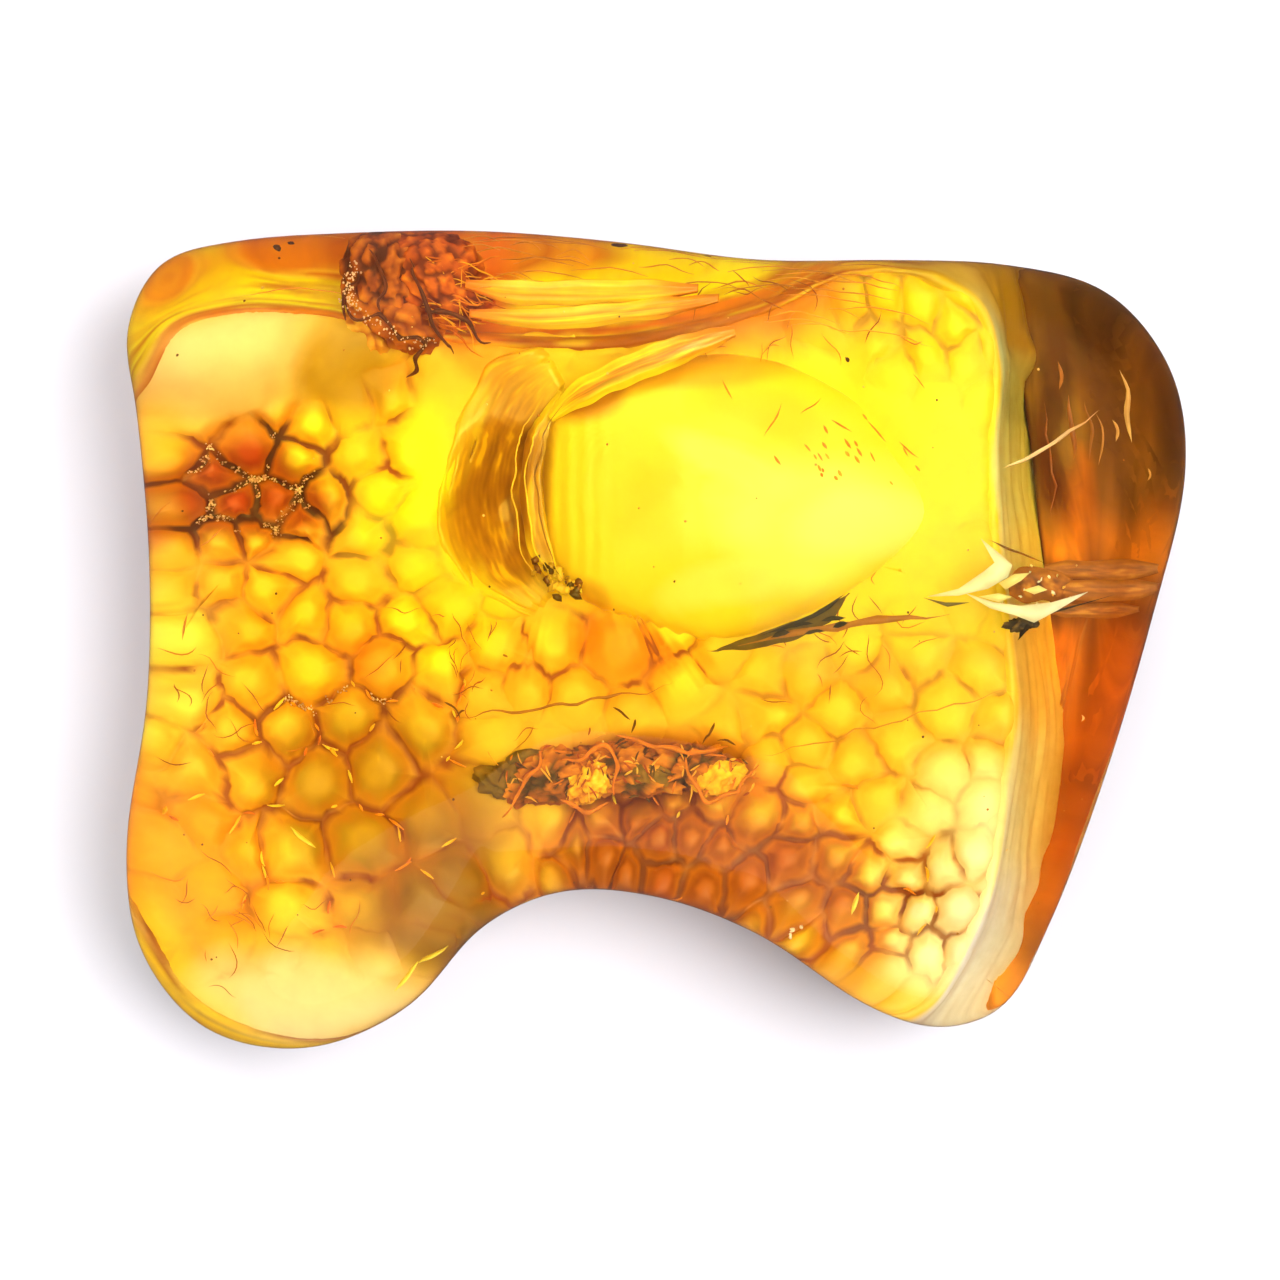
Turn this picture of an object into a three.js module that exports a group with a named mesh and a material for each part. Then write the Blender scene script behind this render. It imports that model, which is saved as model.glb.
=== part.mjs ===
// Raw amber piece: one polished nugget with two legs and a hollow between them.
// Millimetres, +Z up.  X runs along the length, Y across it, the ground base lies on Z = 0.
import * as THREE from "three";
import { mergeVertices } from "three/addons/utils/BufferGeometryUtils.js";

// Height of the widest line above the base.
const WAIST_HEIGHT = 6.4;
// How much deeper than the base plane the underside would reach if it were not ground flat.
const UNDERSIDE_DEPTH = 1.16;
// Softness of the ridges where two polished faces of the top meet.
const RIDGE_SOFTNESS = 0.55;
// Height of the slow hand-polishing waves over the top.
const POLISH_WAVE = 0.14;

// Rim of the piece seen from above, anticlockwise from the upper right corner.
// Each row: x, y, roundness of the wall there (small = steep wall, large = full round).
const RIM = [
  [23.4, 12.4, 0.84],
  [20.5, 15.9, 0.82],
  [16.0, 17.1, 0.78],
  [11.0, 17.3, 0.74],
  [4.6, 17.3, 0.72],
  [-1.8, 18.1, 0.7],
  [-8.1, 18.6, 0.7],
  [-14.1, 18.5, 0.68],
  [-19.1, 18.1, 0.64],
  [-22.5, 17.1, 0.6],
  [-24.0, 13.9, 0.56],
  [-23.5, 10.5, 0.52],
  [-22.9, 3.7, 0.5],
  [-23.0, -2.7, 0.5],
  [-24.0, -9.5, 0.53],
  [-23.4, -14.0, 0.56],
  [-20.5, -17.6, 0.58],
  [-15.9, -18.5, 0.58],
  [-11.3, -16.6, 0.56],
  [-7.9, -12.9, 0.52],
  [-4.3, -11.3, 0.5],
  [0.1, -11.6, 0.5],
  [4.6, -13.3, 0.5],
  [9.6, -16.6, 0.52],
  [12.8, -17.6, 0.55],
  [15.7, -16.7, 0.6],
  [17.7, -13.2, 0.66],
  [20.0, -7.3, 0.74],
  [22.5, 0.9, 0.8],
  [24.1, 8.0, 0.84],
];

// Polished faces of the top.  Each row: a point on the face (x, y, z), then its fall
// per millimetre towards +X and towards +Y.
const TOP_FACES = [
  [0, 4, 15.2, 0.015, 0.01],
  [-14, -2, 15.0, -0.07, -0.03],
  [-6, -6, 14.7, 0.05, -0.2],
  [8, -6, 14.9, 0.06, -0.16],
  [17, 6, 15.3, 0.13, 0.04],
  [-4, 12, 15.1, 0.0, 0.12],
];

// Mesh fineness.
const AROUND = 120;
const TOP_RINGS = 14;
const WALL_RINGS = 9;
const BASE_RINGS = 2;

// Middle point that every ring shrinks towards.
const HEART = new THREE.Vector2(-3.6, 6.4);

const AMBER = new THREE.MeshStandardMaterial({
  name: "amber",
  color: 0xe6920f,
  roughness: 0.08,
  transparent: true,
  opacity: 0.85,
});

function makeRimLine() {
  const rimPoints = RIM.map(([x, y, roundness]) => new THREE.Vector3(x, y, roundness));
  const rimCurve = new THREE.CatmullRomCurve3(rimPoints, true, "centripetal");
  return rimCurve.getSpacedPoints(AROUND);
}

// Height of the polished top over a point: the lowest of the faces, with soft ridges.
function topHeight(x, y) {
  let total = 0;
  for (const [faceX, faceY, faceZ, fallX, fallY] of TOP_FACES) {
    const height = faceZ - fallX * (x - faceX) - fallY * (y - faceY);
    total += Math.exp(-height / RIDGE_SOFTNESS);
  }
  const waves = Math.sin(0.31 * x + 0.17 * y) * Math.cos(0.27 * y - 0.11 * x + 0.8);
  return -RIDGE_SOFTNESS * Math.log(total) + POLISH_WAVE * waves;
}

// One point of the skin.  The ring number counts down from the crown to the middle of the base.
function skinPoint(rim, ring) {
  const roundness = rim.z;
  let reach = 0;
  let level = 0;
  if (ring <= TOP_RINGS) {
    const lean = (ring / TOP_RINGS) * Math.PI * 0.5;
    reach = Math.sin(lean) ** roundness;
    level = Math.max(Math.cos(lean), 0) ** roundness;
  } else {
    const steepest = Math.asin((1 / UNDERSIDE_DEPTH) ** (1 / roundness));
    const down = Math.min((ring - TOP_RINGS) / WALL_RINGS, 1);
    const inward = Math.max((ring - TOP_RINGS - WALL_RINGS) / BASE_RINGS, 0);
    reach = (Math.cos(down * steepest) ** roundness) * (1 - inward);
    level = -UNDERSIDE_DEPTH * Math.sin(down * steepest) ** roundness;
  }
  const x = HEART.x + (rim.x - HEART.x) * reach;
  const y = HEART.y + (rim.y - HEART.y) * reach;
  const rise = level > 0 ? topHeight(x, y) - WAIST_HEIGHT : WAIST_HEIGHT;
  const z = ring < TOP_RINGS + WALL_RINGS ? WAIST_HEIGHT + rise * level : 0;
  return new THREE.Vector3(x, y, z);
}

function makeNugget() {
  const rings = TOP_RINGS + WALL_RINGS + BASE_RINGS;
  const skin = new THREE.SphereGeometry(1, AROUND, rings);
  skin.deleteAttribute("uv");
  skin.deleteAttribute("normal");
  const rimLine = makeRimLine();
  const places = skin.getAttribute("position");
  for (let ring = 0; ring <= rings; ring += 1) {
    for (let step = 0; step <= AROUND; step += 1) {
      const point = skinPoint(rimLine[step % AROUND], ring);
      places.setXYZ(ring * (AROUND + 1) + step, point.x, point.y, point.z);
    }
  }
  const nugget = mergeVertices(skin, 0.0001);
  nugget.computeBoundingBox();
  const middle = nugget.boundingBox.getCenter(new THREE.Vector3());
  nugget.translate(-middle.x, -middle.y, -nugget.boundingBox.min.z);
  nugget.computeVertexNormals();
  return nugget;
}

const nuggetMesh = new THREE.Mesh(makeNugget(), AMBER);
nuggetMesh.name = "amber_nugget";

const group = new THREE.Group();
group.name = "raw_amber_piece";
group.add(nuggetMesh);

export default group;
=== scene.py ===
"""Polished piece of raw amber with a cloudy, crazed layer and old debris sealed inside.

Lengths are in millimetres while a piece is shaped, and metres once it is finished.
+X runs along the length, +Y across it away from the two legs, and +Z up from the ground base.
"""

import math
import random

import bmesh
import bpy
from mathutils import Matrix, Vector, noise
from mathutils.bvhtree import BVHTree
from mathutils.geometry import interpolate_bezier


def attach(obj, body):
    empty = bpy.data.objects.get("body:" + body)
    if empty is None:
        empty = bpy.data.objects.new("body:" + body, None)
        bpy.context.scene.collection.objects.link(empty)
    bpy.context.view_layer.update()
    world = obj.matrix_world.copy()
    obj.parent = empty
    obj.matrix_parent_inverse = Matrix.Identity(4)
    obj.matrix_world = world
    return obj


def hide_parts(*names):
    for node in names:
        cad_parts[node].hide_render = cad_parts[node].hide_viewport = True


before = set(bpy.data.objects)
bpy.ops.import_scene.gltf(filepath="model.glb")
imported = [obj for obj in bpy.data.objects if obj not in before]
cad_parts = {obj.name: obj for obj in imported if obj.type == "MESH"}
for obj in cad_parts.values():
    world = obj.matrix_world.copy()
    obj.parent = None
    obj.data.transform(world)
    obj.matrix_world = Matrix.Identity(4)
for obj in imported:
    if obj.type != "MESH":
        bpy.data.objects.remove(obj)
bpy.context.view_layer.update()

ROOM_LIGHT = 0.38
MM = 0.001
NODE = "amber_nugget"
RIM_ANGLES = 720  # how many distances a radius table holds
OVAL_LIMIT = 2.2  # squared reach past which a soft oval does nothing
OVAL_WANDER = 0.22  # how unevenly a soft oval's edge runs

# Edge of the cloudy layer seen from above, anticlockwise from the right.
CLOUD_RIM = [
    (14.8, 4.0), (14.6, 8.5), (14.8, 12.2), (13.8, 14.4), (9.4, 14.9), (5.0, 13.6), (0.0, 12.9), (-4.0, 12.7),
    (-9.5, 12.9), (-15.0, 13.8), (-19.0, 14.2), (-21.5, 12.9), (-21.9, 8.0), (-21.6, 2.0),
    (-21.8, -4.0), (-22.4, -9.3), (-22.0, -13.2), (-20.0, -16.2), (-16.4, -17.5), (-12.4, -16.5),
    (-9.4, -13.2), (-5.2, -10.8), (0.2, -11.0), (4.6, -12.5), (8.8, -15.4), (11.6, -16.2),
    (13.2, -14.6), (14.7, -11.0), (15.3, -5.9), (15.5, -2.0),
]
CLOUD_HEART = Vector((-3.2, 5.4))
CLOUD_FLOOR = 1.2
CLOUD_TOP = 7.4
CLOUD_MARGIN = 0.55  # least depth under the skin
SHOULDER = 0.8  # radius of the rounded edge between the top and the wall
BANK_DEPTH = 7.4  # how far down the wall the streaked bank reaches
BANK_MARGINS = (0.33, 0.43)  # least depth of its outer and inner faces
CELL_TRIES = 9000
# How far the wall leans out for each millimetre it drops: x, y, half length, half width, turn, lean
WALL_LEANS = [
    (-4.0, 17.0, 30.0, 7.5, 0, 0.85),
    (19.0, -1.0, 7.0, 22.0, 0, 0.30),
    (18.0, 10.5, 7.0, 6.5, 0, -0.08),
    (14.6, -17.4, 6.4, 8.4, 0, 0.42),
    (-21.0, -17.0, 10.0, 9.0, 0, 0.80),
]

# Rises and dips of the cloudy layer: x, y, half length, half width, turn in degrees, height.
SWELLS = [
    (-6.9, 5.8, 3.0, 4.2, -8, -2.2),
    (-17.6, 6.6, 4.0, 3.0, 0, -0.9),
    (-14.0, -6.5, 5.0, 5.0, 0, -0.5),
    (-18.4, 12.6, 6.4, 3.4, 0, 2.0),
    (-16.6, -15.0, 7.0, 4.4, 0, 1.2),
    (-10.6, -11.4, 4.0, 4.0, 0, 1.2),
    (14.4, -11.0, 4.4, 8.0, 0, 1.6),
    (-0.6, -5.4, 6.6, 2.2, 0, -1.0),
    (11.5, 10.0, 4.5, 4.5, 0, 0.5),
]

# Colours of the cloudy layer before the amber over it adds its gold: mostly the resin's own colour, with painted
# shade in the hollow left of the lobe and painted glow along the top and lower-left edges, marked below.
BASE_TINT = (0.95, 0.60, 0.06)
# x, y, half length, half width, turn in degrees, colour, strength
CLOUD_STAINS_AND_LIGHT = [
    (3.0, 7.0, 16.5, 9.0, 0, (1.0, 0.86, 0.04), 1.0),
    (12.0, 9.5, 5.0, 6.0, 0, (1.0, 0.84, 0.05), 1.0),
    (-16.6, 0.2, 8.0, 4.8, 0, (0.98, 0.55, 0.02), 1.0),
    (-21.0, -1.2, 3.0, 4.8, 0, (1.0, 0.94, 0.16), 1.0),
    (-9.5, 1.6, 4.4, 3.6, 0, (1.0, 0.80, 0.02), 1.0),
    (-12.8, -6.6, 6.0, 5.4, 20, (0.46, 0.24, 0.004), 1.0),
    (-12.7, -0.2, 2.0, 2.0, 0, (0.80, 0.34, 0.01), 0.8),
    (-20.6, -10.2, 4.4, 5.6, 0, (0.96, 0.38, 0.008), 1.0),
    (-10.2, -10.6, 4.2, 5.6, -35, (0.29, 0.135, 0.010), 1.0),
    (-16.0, -15.6, 6.4, 3.1, 4, (0.86, 0.68, 0.36), 1.0),
    (-18.6, 12.2, 6.0, 3.4, 0, (0.90, 0.66, 0.36), 1.0),
    (-13.6, 11.2, 2.8, 3.0, 0, (0.50, 0.29, 0.012), 1.0),
    (-17.7, 6.7, 5.2, 3.2, 0, (0.42, 0.060, 0.004), 1.0),
    (-21.9, 4.9, 2.4, 1.5, 0, (0.52, 0.10, 0.006), 0.9),
    (-12.2, 5.4, 1.4, 2.0, 0, (1.0, 0.80, 0.02), 1.0),
    (-10.9, 7.6, 2.6, 3.6, 0, (1.0, 0.98, 0.01), 1.0),
    (1.4, -9.4, 10.8, 3.8, -8, (0.42, 0.105, 0.002), 1.0),
    (-0.6, -5.2, 7.2, 2.2, 0, (0.56, 0.13, 0.005), 0.9),
    (12.8, -9.6, 3.8, 6.8, -8, (1.0, 1.0, 0.62), 1.0),
    (8.0, -13.4, 4.0, 2.0, -30, (0.66, 0.31, 0.015), 0.9),
    (12.8, -2.4, 3.2, 2.4, 0, (1.0, 0.84, 0.09), 0.8),
    (11.0, 1.4, 7.0, 2.6, 12, (1.0, 0.84, 0.05), 0.8),
    (-1.8, 0.0, 3.6, 1.4, -8, (0.95, 0.34, 0.008), 1.0),
    # The next two rows, brown in the hollow left of the lobe, are partly the resin's own brown and partly
    # painted shade.
    (-7.2, 6.4, 2.6, 4.2, -12, (0.60, 0.27, 0.006), 0.9),
    (-6.4, 6.8, 1.7, 3.8, -10, (0.34, 0.13, 0.004), 1.0),
    # The next row, bright yellow over the top band, is partly the resin's own yellow and partly painted glow of
    # light gathered at the top edge.
    (-4.0, 20.4, 34.0, 6.6, 0, (1.0, 0.86, 0.02), 1.0),
    (-9.6, 14.6, 3.6, 2.4, 0, (0.80, 0.18, 0.01), 0.9),
    (-8.0, 12.2, 3.0, 1.6, -30, (0.85, 0.34, 0.02), 0.7),
    (3.8, 14.4, 5.6, 3.4, 0, (0.74, 0.25, 0.010), 1.0),
    (-13.6, 8.4, 3.4, 2.6, 0, (1.0, 0.80, 0.02), 0.7),
    (11.9, 14.2, 4.0, 3.0, 0, (1.0, 0.80, 0.01), 1.0),
    (12.6, -13.6, 2.6, 2.4, 0, (1.0, 0.94, 0.60), 0.8),
    # The next row, bright yellow round the lower-left corner, is partly the resin's own yellow and partly
    # painted glow of light gathered at that rim.
    (-25.0, -18.0, 7.4, 12.0, 30, (1.0, 0.84, 0.02), 1.0),
]
# Where the layer is crazed: x, y, half length, half width, turn, strength (negative heals it).
CRAZING = [
    (-15.0, -3.0, 8.5, 11.0, 0, 0.58),
    (-13.5, -6.5, 6.5, 6.5, 0, 0.22),
    (-17.5, 6.8, 5.6, 3.8, 0, 1.5),
    (1.4, -9.4, 12.0, 5.0, -6, 1.3),
    (10.0, -3.0, 9.0, 4.6, 0, 0.35),
    (12.0, -11.5, 4.5, 5.0, 0, 0.45),
    (11.6, 14.0, 4.6, 3.0, 0, 0.30),
    (-10.0, 9.0, 4.0, 4.0, 0, 0.6),
    (-3.0, -0.6, 8.0, 2.6, 0, 0.6),
    (-18.6, 12.8, 6.6, 3.0, 0, -2.0),
    (-16.6, -16.2, 7.0, 2.0, 0, -1.0),
    (4.5, 6.4, 10.5, 5.4, 0, -1.6),
    (-7.4, 5.8, 2.6, 4.2, 0, -1.4),
    (-8.8, 8.8, 3.0, 4.0, 0, -1.1),
    (-7.0, 19.2, 20.0, 5.4, 0, -2.0),
    (20.5, 1.0, 5.4, 24.0, 0, -2.0),
]
# Size of the crack cells: x, y, half length, half width, turn, spacing
CELL_SIZES = [
    (-13.0, -7.0, 7.0, 6.0, 0, 2.4),
    (1.4, -8.8, 11.0, 4.2, 0, 1.45),
    (10.0, -12.0, 6.0, 4.0, 0, 1.45),
    (11.6, 14.0, 5.6, 3.6, 0, 1.35),
    (-17.6, 6.6, 6.0, 4.0, 0, 1.45),
]
CELL_SPACING = 2.0
CRACK_TINT = (0.34, 0.065, 0.003)
DEEP_CRACK_TINT = (0.075, 0.010, 0.006)
CELL_EDGE_TINT = (0.80, 0.29, 0.005)
# Where the cracks are old, wide and dark: x, y, half length, half width, turn, strength
DARK_CRACKS = [
    (-17.4, 6.6, 6.0, 3.6, 0, 1.3),
    (-13.0, 4.6, 2.0, 3.2, 0, 0.8),
    (2.0, -9.2, 9.5, 3.8, -8, 0.45),
    (-21.0, -12.0, 3.0, 4.5, 0, 0.4),
    (10.6, -12.6, 3.0, 3.4, 0, 0.4),
    (11.4, 14.0, 4.2, 2.6, 0, 0.25),
    (-14.0, -5.0, 6.5, 7.5, 0, 0.30),
]


def blend(a, b, t):
    return tuple(p + (q - p) * t for p, q in zip(a, b))


def ease(t):
    t = min(max(t, 0.0), 1.0)
    return t * t * (3 - 2 * t)


def swirl(x, y, size, seed=0.0):
    """Smooth noise from -1 to 1 over the plan of the piece, with lumps about size mm across."""
    return noise.noise(Vector((x / size, y / size, seed)))


def spot(x, y, cx, cy, half_x, half_y, turn, soft=0.55):
    """1 in the middle of an oval, 0 outside it, with a soft uneven edge."""
    c, s = math.cos(math.radians(turn)), math.sin(math.radians(turn))
    dx, dy = x - cx, y - cy
    u, v = (dx * c + dy * s) / half_x, (dy * c - dx * s) / half_y
    if u * u + v * v > OVAL_LIMIT:
        return 0.0
    edge = 1 + OVAL_WANDER * swirl(x, y, 2.6, cx)
    return ease((edge - math.hypot(u, v)) / soft)


def pile(spots, x, y, soft=0.55):
    """Sum of soft ovals, each a row of x, y, half length, half width, turn and strength."""
    return sum(row[5] * spot(x, y, *row[:5], soft=soft) for row in spots)


def stained_and_lit(colour, stains_and_light, x, y):
    """The colour there once each oval of colour is laid over it; in some tables these ovals are painted shade,
    glow and highlight as well as stains.
    """
    for *oval, oval_colour, strength in stains_and_light:
        cover = spot(x, y, *oval) * strength
        if cover:
            colour = blend(colour, oval_colour, cover)
    return colour


def heading(turn, rise=0.0):
    """A one millimetre step in plan, turned by so many radians from +X."""
    return Vector((math.cos(turn), math.sin(turn), rise))


def closed_curve(points, steps):
    """A smooth closed line through the points, as Vectors."""
    knots = [Vector(p) for p in points]
    line = []
    for i, knot in enumerate(knots):
        before, after, beyond = knots[i - 1], knots[(i + 1) % len(knots)], knots[(i + 2) % len(knots)]
        line += interpolate_bezier(
            knot, knot + (after - before) / 6, after - (beyond - knot) / 6, after, steps + 1
        )[:-1]
    return line


def radius_table(points, heart):
    """Distance from the heart to the line, at equal angles all round."""
    ends = []
    for p in closed_curve(points, 24):
        d = Vector((p[0], p[1])) - heart
        ends.append((math.atan2(d.y, d.x) % math.tau, d.length))
    ends.sort()
    ends = [(ends[-1][0] - math.tau, ends[-1][1])] + ends + [(ends[0][0] + math.tau, ends[0][1])]
    table, k = [], 0
    for i in range(RIM_ANGLES):
        angle = math.tau * i / RIM_ANGLES
        while ends[k + 1][0] < angle:
            k += 1
        (a, ra), (b, rb) = ends[k], ends[k + 1]
        table.append(ra + (rb - ra) * (angle - a) / max(b - a, 1e-9))
    return table


def radius_at(table, angle):
    place = (angle % math.tau) / math.tau * len(table)
    low = int(place) % len(table)
    return table[low] + (table[(low + 1) % len(table)] - table[low]) * (place - int(place))


# ---------------------------------------------------------------- materials


def fresh_material(name, **values):
    """A material with one Principled shader, whose sockets take the values given."""
    material = bpy.data.materials.new(name)
    material.use_nodes = True
    shader = material.node_tree.nodes["Principled BSDF"]
    for socket, value in values.items():
        shader.inputs[socket.replace("_", " ")].default_value = value
    return material, material.node_tree.nodes, material.node_tree.links, shader


def grain(nodes, links, scale, detail=3.0):
    """Noise on Object coordinates.  Scale is in lumps per metre."""
    place = nodes.new("ShaderNodeTexCoord")
    texture = nodes.new("ShaderNodeTexNoise")
    texture.inputs["Scale"].default_value = scale
    texture.inputs["Detail"].default_value = detail
    links.new(place.outputs["Object"], texture.inputs["Vector"])
    return texture.outputs["Fac"]


def ramp(nodes, links, source, *stops):
    """A colour ramp over source, from (place, colour) stops."""
    node = nodes.new("ShaderNodeValToRGB")
    while len(node.color_ramp.elements) < len(stops):
        node.color_ramp.elements.new(0.5)
    for element, (place, colour) in zip(node.color_ramp.elements, stops):
        element.position = place
        element.color = (*colour, 1)
    links.new(source, node.inputs["Fac"])
    return node.outputs["Color"]


def multiply(nodes, links, first, second, share=1.0):
    node = nodes.new("ShaderNodeMix")
    node.data_type = "RGBA"
    node.blend_type = "MULTIPLY"
    node.inputs["Factor"].default_value = share
    links.new(first, node.inputs["A"])
    links.new(second, node.inputs["B"])
    return node.outputs["Result"]


AMBER_IOR = 1.54
GOLD = (0.982, 0.87, 0.02, 1)  # what is left of white light after a short way through the amber
GOLD_DENSITY = 135
# Honey brown laid on the skin the steeper it slopes.
STEEP_SKIN_TINT = (0.84, 0.36, 0.05)
# Colours laid on the skin: x, y, half length, half width, turn, colour, strength. The first row, brown over the
# right-hand end, is partly painted shade; the last, grey-brown along the left outline, is painted shadow.
SKIN_STAINS_AND_SHADE = [
    (21.0, 9.5, 5.4, 8.0, 0, (0.62, 0.40, 0.20), 1.0),
    (19.4, -5.0, 2.5, 10.5, -14, (0.80, 0.42, 0.12), 0.9),
    (-24.4, 1.0, 1.9, 12.0, 0, (0.55, 0.36, 0.24), 1.0),
]


def skin_tint(x, y, tilt):
    """The skin is clear on the flat top and honey brown where it slopes steeply, less so at the lower left; it
    is brown over the right-hand end, partly as painted shade, and darker along the left outline as painted
    shadow.
    """
    rim = ease((tilt - 0.60) / 0.36) * (0.85 + 0.5 * swirl(x, y, 5.0, 2.0))
    rim *= 1 - 0.6 * spot(x, y, -20.0, -15.0, 9.0, 8.0, 0)
    tint = blend((1.0, 1.0, 1.0), STEEP_SKIN_TINT, min(max(rim, 0.0), 1.0))
    return stained_and_lit(tint, SKIN_STAINS_AND_SHADE, x, y)


def clear_amber():
    """See-through polished amber that turns light gold, then orange, the further it travels."""
    material, nodes, links, shader = fresh_material(
        "clear_amber", Base_Color=(1, 1, 1, 1), Transmission_Weight=1.0, IOR=AMBER_IOR, Roughness=0.0
    )
    tint = nodes.new("ShaderNodeAttribute")
    tint.attribute_name = "tint"
    links.new(tint.outputs["Color"], shader.inputs["Base Color"])
    worn = nodes.new("ShaderNodeMapRange")
    worn.inputs["To Min"].default_value = 0.0
    worn.inputs["To Max"].default_value = 0.05
    links.new(grain(nodes, links, 160, 1), worn.inputs["Value"])
    links.new(worn.outputs["Result"], shader.inputs["Roughness"])
    waves = nodes.new("ShaderNodeBump")
    waves.inputs["Strength"].default_value = 0.12
    waves.inputs["Distance"].default_value = 0.0006
    links.new(grain(nodes, links, 130, 1), waves.inputs["Height"])
    links.new(waves.outputs["Normal"], shader.inputs["Normal"])
    gold = nodes.new("ShaderNodeVolumeAbsorption")
    gold.inputs["Color"].default_value = GOLD
    gold.inputs["Density"].default_value = GOLD_DENSITY
    links.new(gold.outputs["Volume"], nodes["Material Output"].inputs["Volume"])
    return material


def tinted_resin(name, roughness=0.5, mottle=0.25, scale=900):
    """Cloudy resin that takes its colour from the piece's own tint, with fine mottling."""
    material, nodes, links, shader = fresh_material(name, Roughness=roughness)
    tint = nodes.new("ShaderNodeAttribute")
    tint.attribute_name = "tint"
    noise_map = grain(nodes, links, scale, 5)
    specks = ramp(nodes, links, noise_map, (0.3, (0.72, 0.66, 0.6)), (0.62, (1, 1, 1)))
    links.new(multiply(nodes, links, tint.outputs["Color"], specks, mottle), shader.inputs["Base Color"])
    return material


# ---------------------------------------------------------------- finishing a piece


def make_piece(name, mesh, material):
    """Turns a shape in millimetres into a finished piece in metres that rides on the stone."""
    bmesh.ops.scale(mesh, vec=(MM, MM, MM), verts=mesh.verts)
    for face in mesh.faces:
        face.smooth = True
    data = bpy.data.meshes.new(name)
    mesh.to_mesh(data)
    mesh.free()
    piece = bpy.data.objects.new(name, data)
    bpy.context.scene.collection.objects.link(piece)
    piece.data.materials.append(material)
    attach(piece, "root")
    return piece


def make_skin(material):
    """The polished outside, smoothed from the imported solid."""
    mesh = bmesh.new()
    mesh.from_mesh(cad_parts[NODE].data)
    bmesh.ops.remove_doubles(mesh, verts=mesh.verts, dist=1e-6)
    bmesh.ops.scale(mesh, vec=(1000, 1000, 1000), verts=mesh.verts)
    bmesh.ops.join_triangles(
        mesh, faces=mesh.faces, angle_face_threshold=math.pi, angle_shape_threshold=math.pi
    )
    mesh.normal_update()
    layer = mesh.verts.layers.float_color.new("tint")
    for vert in mesh.verts:
        vert[layer] = (*skin_tint(*vert.co.xy, 1 - vert.normal.z), 1)
    skin = make_piece("amber_skin", mesh, material)
    smoothing = skin.modifiers.new("smoothing", "SUBSURF")
    smoothing.levels = 2
    smoothing.render_levels = 2
    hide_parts(NODE)
    return skin


class Inside:
    """Knows where the polished skin is, and keeps other pieces inside it."""

    def __init__(self, skin):
        bpy.context.view_layer.update()
        self.tree = BVHTree.FromObject(skin, bpy.context.evaluated_depsgraph_get())

    def tuck(self, point, margin):
        """The point, or the nearest place at least margin mm under the skin."""
        near, normal, _, _ = self.tree.find_nearest(point * MM)
        depth = (near - point * MM).dot(normal) / MM
        if depth >= margin:
            return point
        return near / MM - normal * margin


# ---------------------------------------------------------------- cloudy layer


def cloud_height(x, y):
    return CLOUD_TOP + 0.35 * swirl(x, y, 7.0, 3.0) + pile(SWELLS, x, y, soft=0.9)


def cloud_tint(x, y):
    return stained_and_lit(BASE_TINT, CLOUD_STAINS_AND_LIGHT, x, y)


def crazing(x, y):
    return min(max(0.15 + pile(CRAZING, x, y, soft=0.5), 0.0), 1.0)


def cell_spacing(x, y):
    size = CELL_SPACING
    for *oval, spacing in CELL_SIZES:
        size += (spacing - size) * spot(x, y, *oval)
    return size


def scatter_cells(rng, radii):
    """Middles of the crack cells, over the top and down the walls of the layer."""
    middles = []
    for _ in range(CELL_TRIES):
        p = Vector((rng.uniform(-31, 27), rng.uniform(-26, 23)))
        out = p - CLOUD_HEART
        if out.length > radius_at(radii, math.atan2(out.y, out.x)) + 9:
            continue
        gap = cell_spacing(p.x, p.y) * 0.86
        if all((p - q).length > gap for q in middles):
            middles.append(p)
    return middles


def cut_cell(sheet, middle, middles):
    """One flat crack cell, cut from a square by the lines halfway to its neighbours."""
    cell = bmesh.new()
    place = Matrix.Translation((middle.x, middle.y, 0))
    bmesh.ops.create_grid(cell, x_segments=1, y_segments=1, size=5.0, matrix=place)
    near = sorted(
        (q for q in middles if 0 < (q - middle).length < 9), key=lambda q: (q - middle).length
    )
    for other in near:
        halfway = (middle + other) / 2
        away = other - middle
        bmesh.ops.bisect_plane(
            cell, geom=cell.verts[:] + cell.edges[:] + cell.faces[:], dist=1e-5,
            plane_co=(halfway.x, halfway.y, 0), plane_no=(away.x, away.y, 0), clear_outer=True,
        )
    patch = bpy.data.meshes.new("patch")
    cell.to_mesh(patch)
    cell.free()
    sheet.from_mesh(patch)
    bpy.data.meshes.remove(patch)


def drape(point, radii, lift):
    """Where a point of the flat sheet comes to lie once it is laid over the layer."""
    out = Vector((point.x, point.y)) - CLOUD_HEART
    reach = max(out.length, 1e-6)
    rim = radius_at(radii, math.atan2(out.y, out.x))
    past = reach - rim + SHOULDER
    if past <= 0:
        return Vector((point.x, point.y, cloud_height(point.x, point.y) + lift))
    turn = min(past / SHOULDER, math.pi / 2)
    wall = max(past - SHOULDER * math.pi / 2, 0)
    lean = pile(WALL_LEANS, point.x, point.y)
    side = rim - SHOULDER + (SHOULDER + lift) * math.sin(turn) + wall * lean
    drop = SHOULDER * (1 - math.cos(turn)) + wall
    x, y = CLOUD_HEART + out / reach * side
    return Vector((x, y, cloud_height(x, y) + lift * math.cos(turn) - drop))


# Rings from a crack to the middle of its cell: how much of the cell each one keeps, and how high it stands.
RING_SHARES = (1.0, 0.955, 0.86, 0.68, 0.40)
CELL_LIFTS = (-0.38, -0.34, -0.28, -0.08, 0.14, 0.26, 0.30)
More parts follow.
